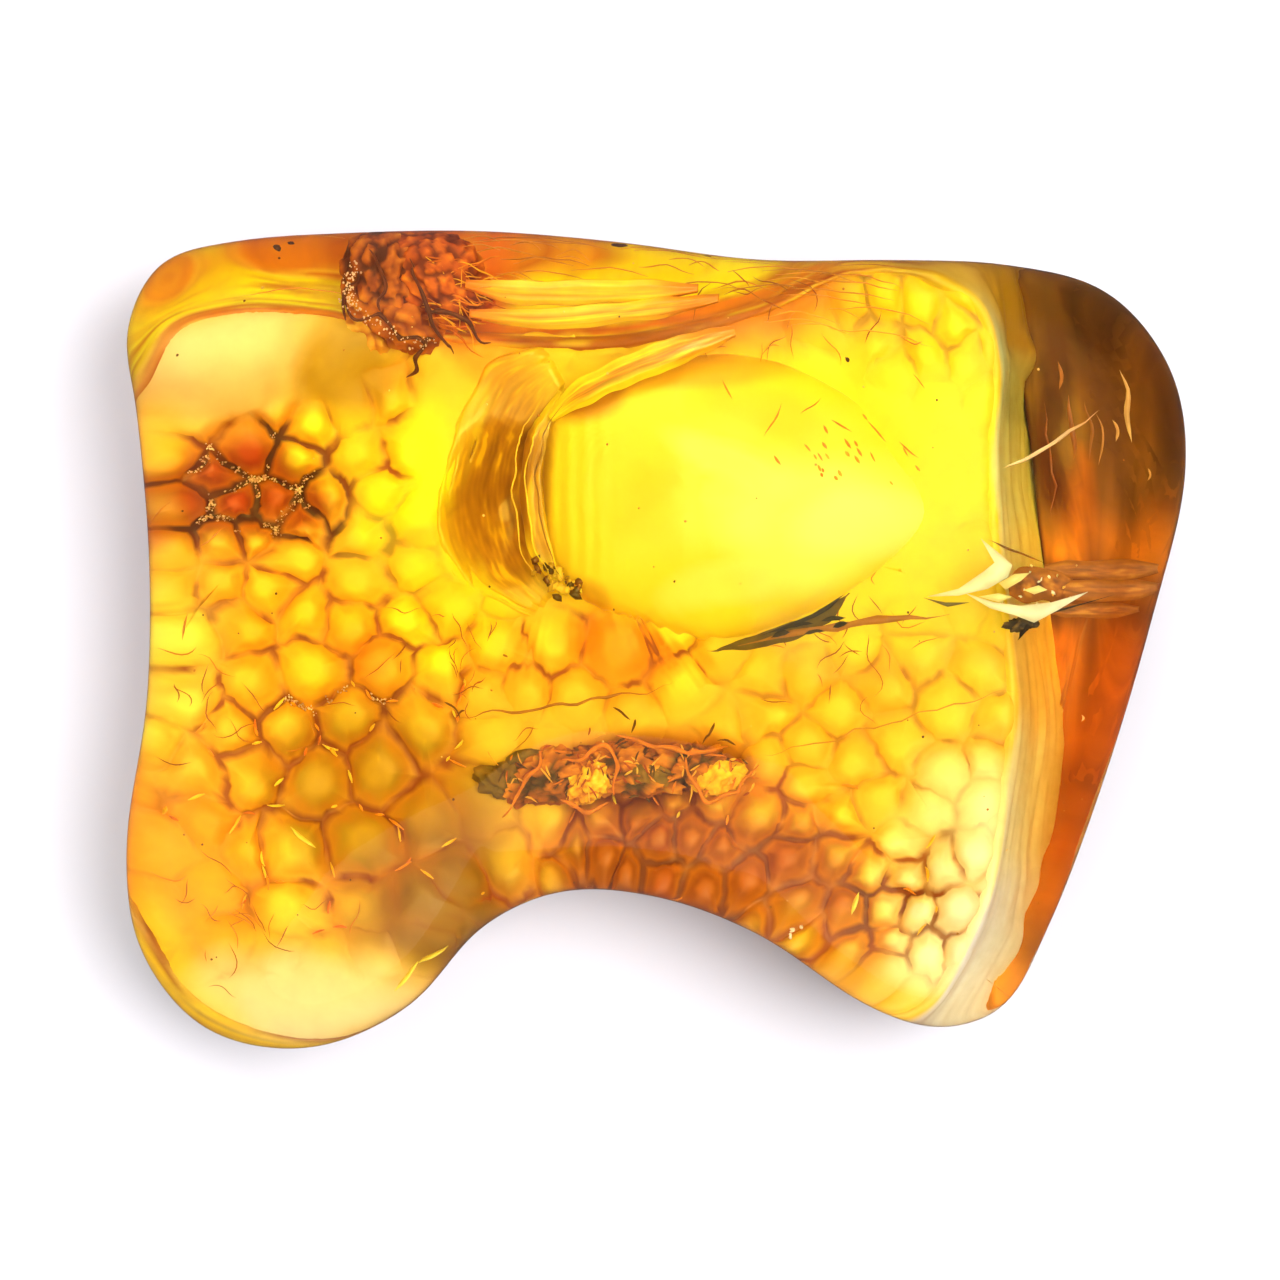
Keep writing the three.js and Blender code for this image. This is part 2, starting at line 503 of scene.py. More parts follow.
# How orange each ring past the crack line is: share, how unevenly, size of the unevenness, seed
RING_EDGES = {
    2: (0.95, 0.5, 0.5, 2.0), 3: (0.62, 0.6, 0.6, 3.0), 4: (0.22, 0.5, 0.9, 6.0),
    5: (0.03, 0.0, 1.0, 0.0), 6: (0.0, 0.0, 1.0, 0.0),
}


def crack_width(x, y):
    """Half the width of the crack line there."""
    wide = 0.012 + 0.028 * crazing(x, y) + 0.065 * min(pile(DARK_CRACKS, x, y), 1.0)
    return max(wide * (0.8 + 1.3 * swirl(x, y, 0.7, 8.0)), 0.010)


def cell_tint(colour, step, x, y, depth, shade):
    """Colour of one ring of a crack cell: dark broken line, orange edge, lighter middle."""
    edge = blend(colour, tuple(c * k for c, k in zip(colour, (0.88, 0.52, 0.25))), 0.6)
    edge = blend(edge, CELL_EDGE_TINT, 0.4)
    if step <= 1:
        old = min(pile(DARK_CRACKS, x, y) * (0.9 + 0.8 * swirl(x, y, 2.0, 4.0)), 1.0)
        line = blend(CRACK_TINT, DEEP_CRACK_TINT, max(old, 0.0))
        seen = ease(0.18 + depth * 0.55 + 0.5 * max(old, 0.0) + 1.5 * swirl(x, y, 0.8, 9.0))
        return blend(colour, blend(edge, line, seen), min(depth * 1.5, 1.0))
    share, uneven, size, seed = RING_EDGES[step]
    share = min(max(share + uneven * swirl(x, y, size, seed), 0.0), 1.0)
    tone = 1 + 0.20 * shade * depth
    middle = (min(colour[0] * (1 + 0.05 * (tone - 1)), 1.0), colour[1] * tone, colour[2] * tone)
    if step >= 5:
        middle = tuple(min(c * (1 + 0.22 * depth), 1.0) for c in middle)
    return blend(middle, edge, share * depth)


# Bands along the side of the layer: x, y, half length, half width, from and to past the edge, colour
BANDS_GLOW_AND_SHEEN = [
    (-16.0, 15.0, 9.0, 8.0, 0.2, 1.0, (0.62, 0.20, 0.006)),
    # Bright yellow band along the top-left edge: partly the resin's own yellow, partly painted glow of light
    # gathered at that rim.
    (-16.0, 15.0, 10.0, 9.0, 1.0, 2.9, (1.0, 1.0, 0.006)),
    (-14.5, 15.0, 9.5, 9.0, 3.0, 9.0, (0.76, 0.25, 0.005)),
    (-1.0, 15.0, 9.0, 9.0, 0.3, 0.9, (0.50, 0.15, 0.006)),
    (-1.0, 15.0, 9.0, 9.0, 1.3, 1.7, (0.86, 0.26, 0.01)),
    # Bright yellow band along the top edge: partly the resin's own yellow, partly painted glow.
    (-1.0, 15.0, 11.0, 9.0, 1.7, 3.1, (1.0, 1.0, 0.006)),
    (-1.0, 15.0, 12.0, 9.0, 3.2, 9.0, (0.80, 0.33, 0.008)),
    (-9.8, 15.6, 4.4, 5.4, -1.0, 9.0, (0.80, 0.16, 0.005)),
    (-19.0, -17.0, 11.0, 9.0, 0.35, 0.60, (0.36, 0.10, 0.006)),
    # The bright yellow bands round the lower-left corner: partly the resin's own yellow, partly painted glow of
    # light gathered at that rim.
    (-19.0, -17.0, 11.0, 9.0, 0.60, 1.7, (1.0, 0.66, 0.008)),
    (-19.0, -17.0, 11.0, 9.0, 1.7, 1.95, (0.60, 0.22, 0.008)),
    (-19.0, -17.0, 11.0, 9.0, 1.95, 2.7, (1.0, 0.62, 0.008)),
    (-19.0, -17.0, 11.0, 9.0, 2.8, 9.0, (0.55, 0.18, 0.006)),
    (-24.0, 17.8, 6.0, 4.6, -1.0, 9.0, (0.80, 0.33, 0.008)),
    # The pale grey, blue-white and cream bands down the right end: partly the pale resin's own colour, partly
    # painted reflection.
    (18.0, 11.5, 9.0, 8.0, 0.75, 9.0, (0.58, 0.68, 0.72)),
    (18.0, 16.0, 9.0, 4.4, -1.0, 9.0, (0.42, 0.26, 0.03)),
    (18.0, 6.6, 9.0, 4.6, 0.75, 9.0, (0.90, 1.0, 0.95)),
    (18.0, 3.0, 9.0, 3.4, 0.75, 9.0, (1.0, 1.0, 0.80)),
    (18.0, -2.4, 9.0, 4.6, 0.75, 9.0, (1.0, 0.74, 0.30)),
    (17.0, -9.0, 9.0, 7.0, 0.75, 9.0, (0.92, 0.90, 0.80)),
    (15.0, -15.0, 9.0, 6.0, 0.75, 9.0, (0.80, 0.78, 0.92)),
]


def bank_tint(x, y, past, streak, fine):
    """Colour of the layer's steep side, with bands and fine streaks that run along it; the bright yellow bands
    at the top and lower-left edges are partly painted glow, and the pale bands down the right end partly painted
    reflection.
    """
    colour = cloud_tint(x, y)
    for cx, cy, half_x, half_y, top, foot, band in BANDS_GLOW_AND_SHEEN:
        cover = spot(x, y, cx, cy, half_x, half_y, 0)
        if cover:
            depth = past + 0.35 * streak
            cover *= ease((depth - top) / 0.25 + 0.5) * ease((foot - depth) / 0.25 + 0.5)
            colour = blend(colour, band, cover)
    darker = tuple(c * k for c, k in zip(colour, (0.72, 0.45, 0.3)))
    vivid = 0.30 * ease((14 - x) / 3) + 0.08 + 0.62 * ease((y - 10) / 3) * ease((14 - x) / 3)
    vivid *= 1 - 0.9 * spot(x, y, -24.0, 17.8, 6.4, 5.0, 0)
    lines = 0.8 * ease(streak * 3.0 - 0.25) + 0.8 * ease(fine * 3.0 - 0.2)
    colour = blend(colour, darker, vivid * lines / 1.15)
    return blend(colour, (1.0, 0.90, 0.10), 0.5 * vivid * ease(-fine * 2.6 - 0.4))


def make_cloud(material, inside):
    """The cloudy layer: pillow-shaped crack cells welded along their wandering edges."""
    rng = random.Random(7)
    radii = radius_table(CLOUD_RIM, CLOUD_HEART)
    sheet = bmesh.new()
    middles = scatter_cells(rng, radii)
    for middle in middles:
        cut_cell(sheet, middle, middles)
    bmesh.ops.bisect_edges(sheet, edges=sheet.edges, cuts=5)
    for vert in sheet.verts:
        x, y = vert.co.x, vert.co.y
        vert.co.x += 0.38 * swirl(x, y, 1.5, 1.0) + 0.15 * swirl(x, y, 0.4, 2.0)
        vert.co.y += 0.38 * swirl(x, y, 1.5, 5.0) + 0.15 * swirl(x, y, 0.4, 6.0)
    ring = sheet.verts.layers.float.new("ring")
    shade = sheet.verts.layers.float.new("shade")
    cells = sheet.faces[:]
    for step, share in enumerate(RING_SHARES, start=1):
        shrink = share / RING_SHARES[max(step - 2, 0)]
        cells = bmesh.ops.extrude_discrete_faces(sheet, faces=cells)["faces"]
        for number, cell in enumerate(cells):
            heart = cell.calc_center_median()
            least = min((vert.co - heart).length for vert in cell.verts)
            for vert in cell.verts:
                outward = vert.co - heart
                reach = max(outward.length, 0.01)
                if step == 1:
                    gap = min(crack_width(vert.co.x, vert.co.y), 0.3 * reach)
                    rounder = least + (reach - least) * 0.9 - gap
                else:
                    rounder = (least + (reach - least) * 0.62) * shrink
                vert.co = heart + outward / reach * rounder
                vert[ring] = step
                vert[shade] = math.sin(number * 12.9898)
    for vert in bmesh.ops.poke(sheet, faces=cells)["verts"]:
        vert[ring] = len(RING_SHARES) + 1
    bmesh.ops.remove_doubles(sheet, verts=sheet.verts, dist=0.002)
    tint = sheet.verts.layers.float_color.new("tint")
    for vert in sheet.verts:
        x, y = vert.co.x, vert.co.y
        step = round(vert[ring])
        depth = crazing(x, y)
        colour = cell_tint(cloud_tint(x, y), step, x, y, depth, vert[shade])
        vert.co = drape(vert.co, radii, CELL_LIFTS[step] * depth)
        vert[tint] = (*colour, 1)
    bmesh.ops.bisect_plane(
        sheet, geom=sheet.verts[:] + sheet.edges[:] + sheet.faces[:], dist=1e-4,
        plane_co=(0, 0, CLOUD_FLOOR), plane_no=(0, 0, -1), clear_outer=True,
    )
    bmesh.ops.edgeloop_fill(sheet, edges=[e for e in sheet.edges if e.is_boundary])
    for vert in sheet.verts:
        vert.co = inside.tuck(vert.co, CLOUD_MARGIN)
    seams = [
        (edge.verts[0].co.copy(), edge.verts[1].co.copy())
        for edge in sheet.edges
        if edge.verts[0][ring] == 0 and edge.verts[1][ring] == 0 and crazing(*edge.verts[0].co.xy) > 0.3
    ]
    bmesh.ops.recalc_face_normals(sheet, faces=sheet.faces)
    make_piece("cloudy_layer", sheet, material)
    return seams


def make_bank(material, inside):
    """The steep side of the cloudy layer, drawn out into fine streaks along its length."""
    radii = radius_table(CLOUD_RIM, CLOUD_HEART)
    sheet = bmesh.new()
    bmesh.ops.create_grid(sheet, x_segments=640, y_segments=58, size=0.5)
    tint = sheet.verts.layers.float_color.new("tint")
    for vert in sheet.verts:
        angle, down = (vert.co.x + 0.5) * math.tau, 0.5 - vert.co.y
        past = 0.1 + down * BANK_DEPTH
        out = Vector((math.cos(angle), math.sin(angle)))
        flat = CLOUD_HEART + out * (radius_at(radii, angle) - SHOULDER + past)
        hem = ease(down / 0.08)
        fold = noise.noise(Vector((flat.x / 5.0, flat.y / 5.0, past * 1.4)))
        streak = noise.noise(Vector((flat.x / 4.0, flat.y / 4.0, past * 3.2 + 9.0)))
        fine = noise.noise(Vector((flat.x / 2.6, flat.y / 2.6, past * 8.0 + 21.0)))
        lift = -0.35 + hem * (0.52 + 0.10 * fold + 0.05 * streak)
        vert.co = drape(flat.to_3d(), radii, lift)
        vert.co.z = max(vert.co.z, CLOUD_FLOOR - 0.2)
        vert[tint] = (*bank_tint(flat.x, flat.y, past, streak, fine), 1)
    bmesh.ops.remove_doubles(sheet, verts=sheet.verts, dist=0.001)
    outer = set(sheet.verts)
    bmesh.ops.solidify(sheet, geom=sheet.faces[:], thickness=0.05)
    for vert in sheet.verts:
        vert.co = inside.tuck(vert.co, BANK_MARGINS[vert not in outer])
    bmesh.ops.recalc_face_normals(sheet, faces=sheet.faces)
    return make_piece("streaked_bank", sheet, material)


# ---------------------------------------------------------------- things sealed in the resin


UP = Vector((0, 0, 1))
SWATH_ARCH = 0.12  # how far a swath's edges and ends dip
STRAND_SIDES = 7
TWIG_SPREAD = 0.05  # how much the shade varies along one ribbon or leaf


def direction(line, k):
    """Which way the line runs at its point k."""
    return line[min(k + 1, len(line) - 1)] - line[max(k - 1, 0)]


def stroke(middle, way, bend=Vector()):
    """Three points of a short line through the middle."""
    return [middle - way, middle + bend, middle + way]


class Sealed:
    """One piece made of many small shapes, each with its own tint, kept under the skin."""

    def __init__(self, inside, seed):
        self.mesh = bmesh.new()
        self.tint = self.mesh.verts.layers.float_color.new("tint")
        self.inside = inside
        self.rng = random.Random(seed)

    def paint(self, verts, tint, spread=0.12):
        shade = 1 + self.rng.uniform(-spread, spread)
        for vert in verts:
            own = shade * (1 + 0.3 * noise.noise(vert.co * 1.9))
            vert[self.tint] = (*(min(max(c * own, 0.0), 1.0) for c in tint), 1)

    def lump(self, place, size, tint, rough=0.35, fineness=2):
        """A rough crumb.  Size is its half lengths along X, Y and Z."""
        made = bmesh.ops.create_icosphere(self.mesh, subdivisions=fineness, radius=1.0)["verts"]
        shift = Vector((self.rng.uniform(0, 50), 0, 0))
        spin = Matrix.Rotation(self.rng.uniform(0, math.tau), 3, "Z")
        for vert in made:
            grown = vert.co * (1 + rough * noise.noise(vert.co * 1.6 + shift))
            vert.co = Vector(place) + spin @ Vector((a * b for a, b in zip(grown, size)))
        self.paint(made, tint)

    def crust(self, place, size, turn, palette, rough=0.4, knobs=1.1, fineness=5):
        """A rough clod.  Its cracks take the palette's first colour and its knobs the last."""
        made = bmesh.ops.create_icosphere(self.mesh, subdivisions=fineness, radius=1.0)["verts"]
        shift = Vector((self.rng.uniform(0, 50), self.rng.uniform(0, 50), 0))
        spin = Matrix.Rotation(math.radians(turn), 3, "Z")
        for vert in made:
            p = Vector((a * b for a, b in zip(vert.co, size))) * knobs + shift
            crack = max(0.80 - 2 * abs(noise.noise(p)), 0) - 0.45
            crack = max(crack, 0) * 2.5
            bump = 0.6 * noise.noise(p * 2.7) + 0.3 * noise.noise(p * 6.1)
            grown = vert.co * (1 + rough * (bump - crack) + 0.5 * rough * noise.noise(p * 0.9))
            vert.co = Vector(place) + spin @ Vector((a * b for a, b in zip(grown, size)))
            tone = 0.52 + 0.8 * bump + 0.5 * noise.noise(p * 0.8) - crack
            vert[self.tint] = (*palette_at(palette, tone), 1)

    def swath(
        self, path, width, palette, steps=24, rows=24, grain_along=0.35, grain_across=3.2,
        under=None, share=1.0, hug=None,
    ):
        """A streaked band along the path, that dips and fades at its edges into what lies under it."""
        line = open_curve(path, steps)
        grid = bmesh.ops.create_grid(self.mesh, x_segments=len(line) - 1, y_segments=rows, size=0.5)
        shift = self.rng.uniform(0, 50)
        for vert in grid["verts"]:
            spot_on, side = (vert.co.x + 0.5) * (len(line) - 1), vert.co.y * 2
            k = min(round(spot_on), len(line) - 1)
            flat = direction(line, k).normalized().cross(UP).normalized()
            end = min(ease(k / len(line) / 0.3), ease((1 - k / len(line)) / 0.3))
            reach = width / 2 * (0.35 + 0.65 * end) * (1 + 0.25 * noise.noise(line[k] * 0.8))
            streak = noise.noise(Vector((k / steps * 3 * grain_along, side * grain_across, shift)))
            fine = noise.noise(Vector((k / steps * 8 * grain_along, side * grain_across * 3, shift + 9)))
            dip = SWATH_ARCH * 1.6 * max(abs(side) - 0.55, 0) / 0.45 + SWATH_ARCH * 2 * (1 - end)
            vert.co = line[k] + flat * side * reach + Vector((0, 0, 0.02 * streak - dip))
            ground = under or cloud_tint(vert.co.x, vert.co.y)
            cover = share * ease((1 - abs(side)) / 0.8 + 0.5 * streak) * ease(end)
            if hug is not None:
                seen = ease(cover * 3.5)
                lift = hug * seen - 0.5 * (1 - seen) + 0.03 * streak
                vert.co.z = cloud_height(vert.co.x, vert.co.y) + lift
            tone = palette_at(palette, 0.5 + 0.8 * streak + 0.45 * fine)
            vert[self.tint] = (*blend(ground, tone, cover), 1)

    def shard(self, outline, height, tint):
        """A thin leaf of amber broken off flat, with the outline given as x, y."""
        corners = [self.mesh.verts.new((x, y, height)) for x, y in outline]
        face = self.mesh.faces.new(corners)
        bmesh.ops.inset_individual(self.mesh, faces=[face], thickness=0.06, depth=0.05)
        self.paint(corners, tuple(c * 0.45 for c in tint), TWIG_SPREAD)
        self.paint(set(face.verts) - set(corners), tint, TWIG_SPREAD)
        bmesh.ops.triangulate(self.mesh, faces=[face])

    def ribbon(self, path, width, tint, stand=0.0, wander=0.15, steps=5, ends=(0.05, 0.05)):
        """A thin film along the path.  Stand turns it from lying flat (0) to upright (1)."""
        line = open_curve(path, steps)
        edge = None
        for k, middle in enumerate(line):
            t = k / (len(line) - 1)
            flat = direction(line, k).normalized().cross(UP).normalized()
            across = (flat * (1 - stand) + UP * stand).normalized()
            swell = min(t / 0.35, (1 - t) / 0.35, 1.0)
            first, last = ends
            half = width / 2 * max(ease(swell), first if t < 0.5 else last)
            half *= 1 + 0.5 * noise.noise(middle * 1.3)
            drift = wander * noise.noise(middle * 0.9 + Vector((7, 0, 0)))
            middle = middle + flat * drift
            ends_now = (middle - across * half, middle + across * half)
            if edge is None:
                verts = [self.mesh.verts.new(p) for p in ends_now]
                edge = self.mesh.edges.new(verts)
            else:
                grown = bmesh.ops.extrude_edge_only(self.mesh, edges=[edge])["geom"]
                verts = [g for g in grown if isinstance(g, bmesh.types.BMVert)]
                edge = next(g for g in grown if isinstance(g, bmesh.types.BMEdge))
                verts.sort(key=lambda v: (v.co - before[0]).length)
                for vert, place in zip(verts, ends_now):
                    vert.co = place
            before = [p.copy() for p in ends_now]
            self.paint(verts, tint, TWIG_SPREAD)

    def strand(self, path, radius, tint, wander=0.2, steps=5):
        """A round thread along the path, thin at its ends."""
        line = open_curve(path, steps)
        rings = []
        for k, middle in enumerate(line):
            t = k / (len(line) - 1)
            size = radius * max(math.sin(math.pi * t) ** 0.5, 0.15) * (1 + 0.6 * noise.noise(middle * 2))
            drift = Vector((noise.noise(middle), noise.noise(middle + Vector((9, 0, 0))), 0)) * wander
            facing = direction(line, k).to_track_quat("Z", "Y").to_matrix().to_4x4()
            place = Matrix.Translation(middle + drift) @ facing
            ring = bmesh.ops.create_circle(
                self.mesh, cap_ends=k in (0, len(line) - 1), segments=STRAND_SIDES, radius=size, matrix=place
            )
            rings.append(ring["verts"])
            self.paint(ring["verts"], tint, 0.08)
        for first, second in zip(rings, rings[1:]):
            both = first + second
            edges = {e for v in both for e in v.link_edges if all(w in both for w in e.verts)}
            edges = [e for e in edges if (e.verts[0] in first) == (e.verts[1] in first)]
            bmesh.ops.bridge_loops(self.mesh, edges=edges)

    def finish(self, name, material, thickness=0.0, margin=0.35):
        if thickness:
            bmesh.ops.solidify(self.mesh, geom=self.mesh.faces[:], thickness=thickness)
        for vert in self.mesh.verts:
            vert.co = self.inside.tuck(vert.co, margin)
        bmesh.ops.recalc_face_normals(self.mesh, faces=self.mesh.faces)
        return make_piece(name, self.mesh, material)


def palette_at(palette, t):
    """Colour at t from 0 to 1 along a row of colours."""
    t = min(max(t, 0.0), 0.9999) * (len(palette) - 1)
    low = int(t)
    return blend(palette[low], palette[low + 1], t - low)


def open_curve(points, steps):
    """A smooth line through the points, as Vectors, with steps between each two."""
    knots = [Vector(p) for p in points]
    line = [knots[0]]
    for i in range(len(knots) - 1):
        before, here, after = knots[max(i - 1, 0)], knots[i], knots[i + 1]
        beyond = knots[min(i + 2, len(knots) - 1)]
        line += interpolate_bezier(
            here, here + (after - before) / 6, after - (beyond - here) / 6, after, steps + 1
        )[1:]
    return line


def within_rim(mesh, rim, heart, fullness):
    """Spreads a ball of radius 1 out to the rim.  For each point: share of the way out, x, y and rise."""
    radii = radius_table(rim, heart)
    for vert in mesh.verts:
        angle = math.atan2(vert.co.y, vert.co.x)
        level = math.asin(min(max(vert.co.z, -1.0), 1.0))
        share = math.cos(level) ** fullness
        reach = share * radius_at(radii, angle)
        rise = math.copysign(abs(math.sin(level)) ** 0.7, level)
        yield vert, share, heart.x + reach * math.cos(angle), heart.y + reach * math.sin(angle), rise


# Edge of the swollen flow of resin in the middle, anticlockwise from its right-hand tip.
LOBE_RIM = [
    (12.2, 5.8), (11.0, 8.4), (8.3, 10.6), (5.1, 11.8), (1.9, 12.0), (-0.8, 11.6), (-3.1, 10.9),
    (-4.9, 9.6), (-5.3, 6.9), (-4.8, 3.9), (-3.4, 1.9), (-0.8, 1.0), (2.8, 0.2), (6.2, 1.2), (9.4, 3.2),
]
LOBE_HEART = Vector((1.6, 6.2))
LOBE_LEVEL = 7.0
LOBE_TINT = (1.0, 0.78, 0.05)
LOBE_STAINS_AND_HIGHLIGHT = [
    # The first two rows, pale yellow over the right half, are a painted highlight.
    (7.4, 5.4, 6.4, 3.8, 8, (1.0, 0.95, 0.30), 0.9),
    (8.6, 5.2, 3.8, 1.9, 8, (1.0, 0.97, 0.52), 0.8),
    (3.4, 7.6, 4.6, 1.1, -24, (1.0, 0.92, 0.30), 0.6),
    (3.0, 2.6, 3.6, 1.3, 10, (1.0, 0.90, 0.26), 0.6),
    (-0.6, 6.0, 2.4, 2.0, 20, (1.0, 0.70, 0.03), 0.5),
    (4.6, 10.0, 3.6, 1.1, -12, (1.0, 0.66, 0.03), 0.6),
    (2.0, 11.6, 7.5, 1.0, 4, (0.80, 0.36, 0.02), 0.7),
    (-3.2, 10.6, 2.2, 1.3, 20, (0.50, 0.14, 0.01), 0.8),
    (-3.4, 1.9, 1.5, 1.1, 0, (0.70, 0.34, 0.02), 0.7),
    (-5.4, 6.2, 0.9, 4.8, -6, (0.40, 0.19, 0.010), 0.9),
]


def make_lobe(material, inside):
    """A smooth dome of cloudy resin that flowed in last, with a steep rounded left edge and a painted pale
    highlight over its right half.
    """
    mesh = bmesh.new()
    bmesh.ops.create_uvsphere(mesh, u_segments=160, v_segments=60, radius=1.0)
    tint = mesh.verts.layers.float_color.new("tint")
    for vert, _, x, y, rise in within_rim(mesh, LOBE_RIM, LOBE_HEART, 0.62):
        folds = 0.07 * math.sin(x * 9.0 + 1.6 * swirl(x, y, 3.0)) * ease((-1.0 - x) / 3.0)
        z = LOBE_LEVEL + rise * (2.5 - 0.15 * max(x - 1.0, 0) + 0.25 * swirl(x, y, 3.5, 6.0) + folds)
        vert.co = inside.tuck(Vector((x, y, z)), 0.4)
        vert[tint] = (*stained_and_lit(LOBE_TINT, LOBE_STAINS_AND_HIGHLIGHT, x, y), 1)
    bmesh.ops.recalc_face_normals(mesh, faces=mesh.faces)
    return make_piece("flow_lobe", mesh, material)


# Rows of colours, each from the darkest to the palest.
# Browns of the hollow left of the lobe and its rim: partly the resin's own streaked brown, partly painted shade
# in the hollow.
BROWN_STREAKS_AND_SHADE = [
    (0.30, 0.12, 0.004), (0.40, 0.17, 0.005), (0.48, 0.21, 0.006), (0.58, 0.28, 0.007), (0.90, 0.55, 0.015),
]
RED_STREAKS = [
    (0.30, 0.06, 0.004), (0.52, 0.13, 0.005), (0.74, 0.27, 0.006), (0.90, 0.46, 0.008), (1.0, 0.74, 0.01),
]
SOOT_GRAINS = 46
SOOT_COLOURS = [(0.10, 0.05, 0.008), (0.20, 0.07, 0.01), (0.62, 0.38, 0.03), (0.95, 0.66, 0.08)]


def make_trough(material, inside):
    """The streaked hollow on the left of the lobe, whose brown is partly painted shade, and the brown folds that
    wrap its edge.
    """
    folds = Sealed(inside, 3)
    arc = [(-4.3, 10.6), (-5.3, 8.8), (-5.6, 6.6), (-5.2, 4.2), (-4.2, 2.2)]
    hollow = [(-3.4, 12.0), (-5.3, 10.9), (-6.6, 9.0), (-7.1, 6.8), (-6.8, 4.6), (-5.6, 2.6), (-4.0, 1.2)]
    hollow = [(x, y, 8) for x, y in hollow]
    # The hollow's brown streaks are partly painted shade where the layer dips.
    folds.swath(hollow, 6.0, BROWN_STREAKS_AND_SHADE, steps=22, rows=120, grain_along=0.4, grain_across=7.0, hug=0.12)
    rim = [(x, y, 7.9) for x, y in arc]
    folds.swath(rim, 1.2, BROWN_STREAKS_AND_SHADE[1:], steps=26, rows=40, grain_across=2.4, share=0.9)
    for shift, tint in ((0.16, (0.30, 0.12, 0.004)), (-0.30, (1.0, 0.72, 0.05)), (-0.9, (0.95, 0.62, 0.05))):
        folds.ribbon([(x + shift, y, 8.75 + 0.3 * shift) for x, y in arc], 0.07, tint, wander=0.25, steps=8)
    for _ in range(SOOT_GRAINS):
        along = folds.rng.random()
        x, y = -5.4 + 1.9 * along + folds.rng.gauss(0, 0.35), 3.4 - 1.4 * along + folds.rng.gauss(0, 0.25)
        size = folds.rng.uniform(0.05, 0.2)
        tint = folds.rng.choice(SOOT_COLOURS)
        folds.lump((x, y, 8.5), (size * 1.5, size, size * 0.5), tint, fineness=1, rough=0.8)
    brow = [(-4.9, 9.6, 8.6), (-3.6, 10.6, 9.1), (-1.4, 11.6, 9.3), (1.2, 12.4, 9.2), (3.4, 12.9, 9.0)]
    folds.swath(brow, 1.2, RED_STREAKS, steps=20, rows=50, grain_across=3.6, share=0.85)
    return folds.finish("trough_folds_and_shade", material, thickness=0.04)


PIT_THREADS = 34
PIT_GRAINS = 150
PIT_COLOURS = [
    (0.10, 0.012, 0.006), (0.26, 0.038, 0.006), (0.46, 0.095, 0.006), (0.60, 0.155, 0.008), (0.74, 0.27, 0.02),
]
EMBER_COLOURS = [(0.18, 0.018, 0.004), (0.46, 0.065, 0.004), (0.72, 0.15, 0.005), (0.88, 0.28, 0.01)]
LITTER_COLOURS = [
    (0.10, 0.05, 0.008), (0.28, 0.08, 0.007), (0.52, 0.14, 0.006), (0.72, 0.24, 0.01), (0.90, 0.40, 0.03),
]
PALE_CRUMBS = [(0.42, 0.10, 0.008), (0.74, 0.34, 0.02), (0.86, 0.52, 0.08)]
GOLD_COLOURS = [(0.60, 0.16, 0.006), (0.92, 0.42, 0.008), (1.0, 0.64, 0.02), (1.0, 0.85, 0.10)]
SHREDS = 110
SHRED_COLOURS = [(0.42, 0.07, 0.006), (0.75, 0.22, 0.01), (0.12, 0.05, 0.008), (0.95, 0.5, 0.06)]
MOSS_COLOURS = [(0.18, 0.10, 0.010), (0.22, 0.12, 0.012), (0.40, 0.20, 0.02)]


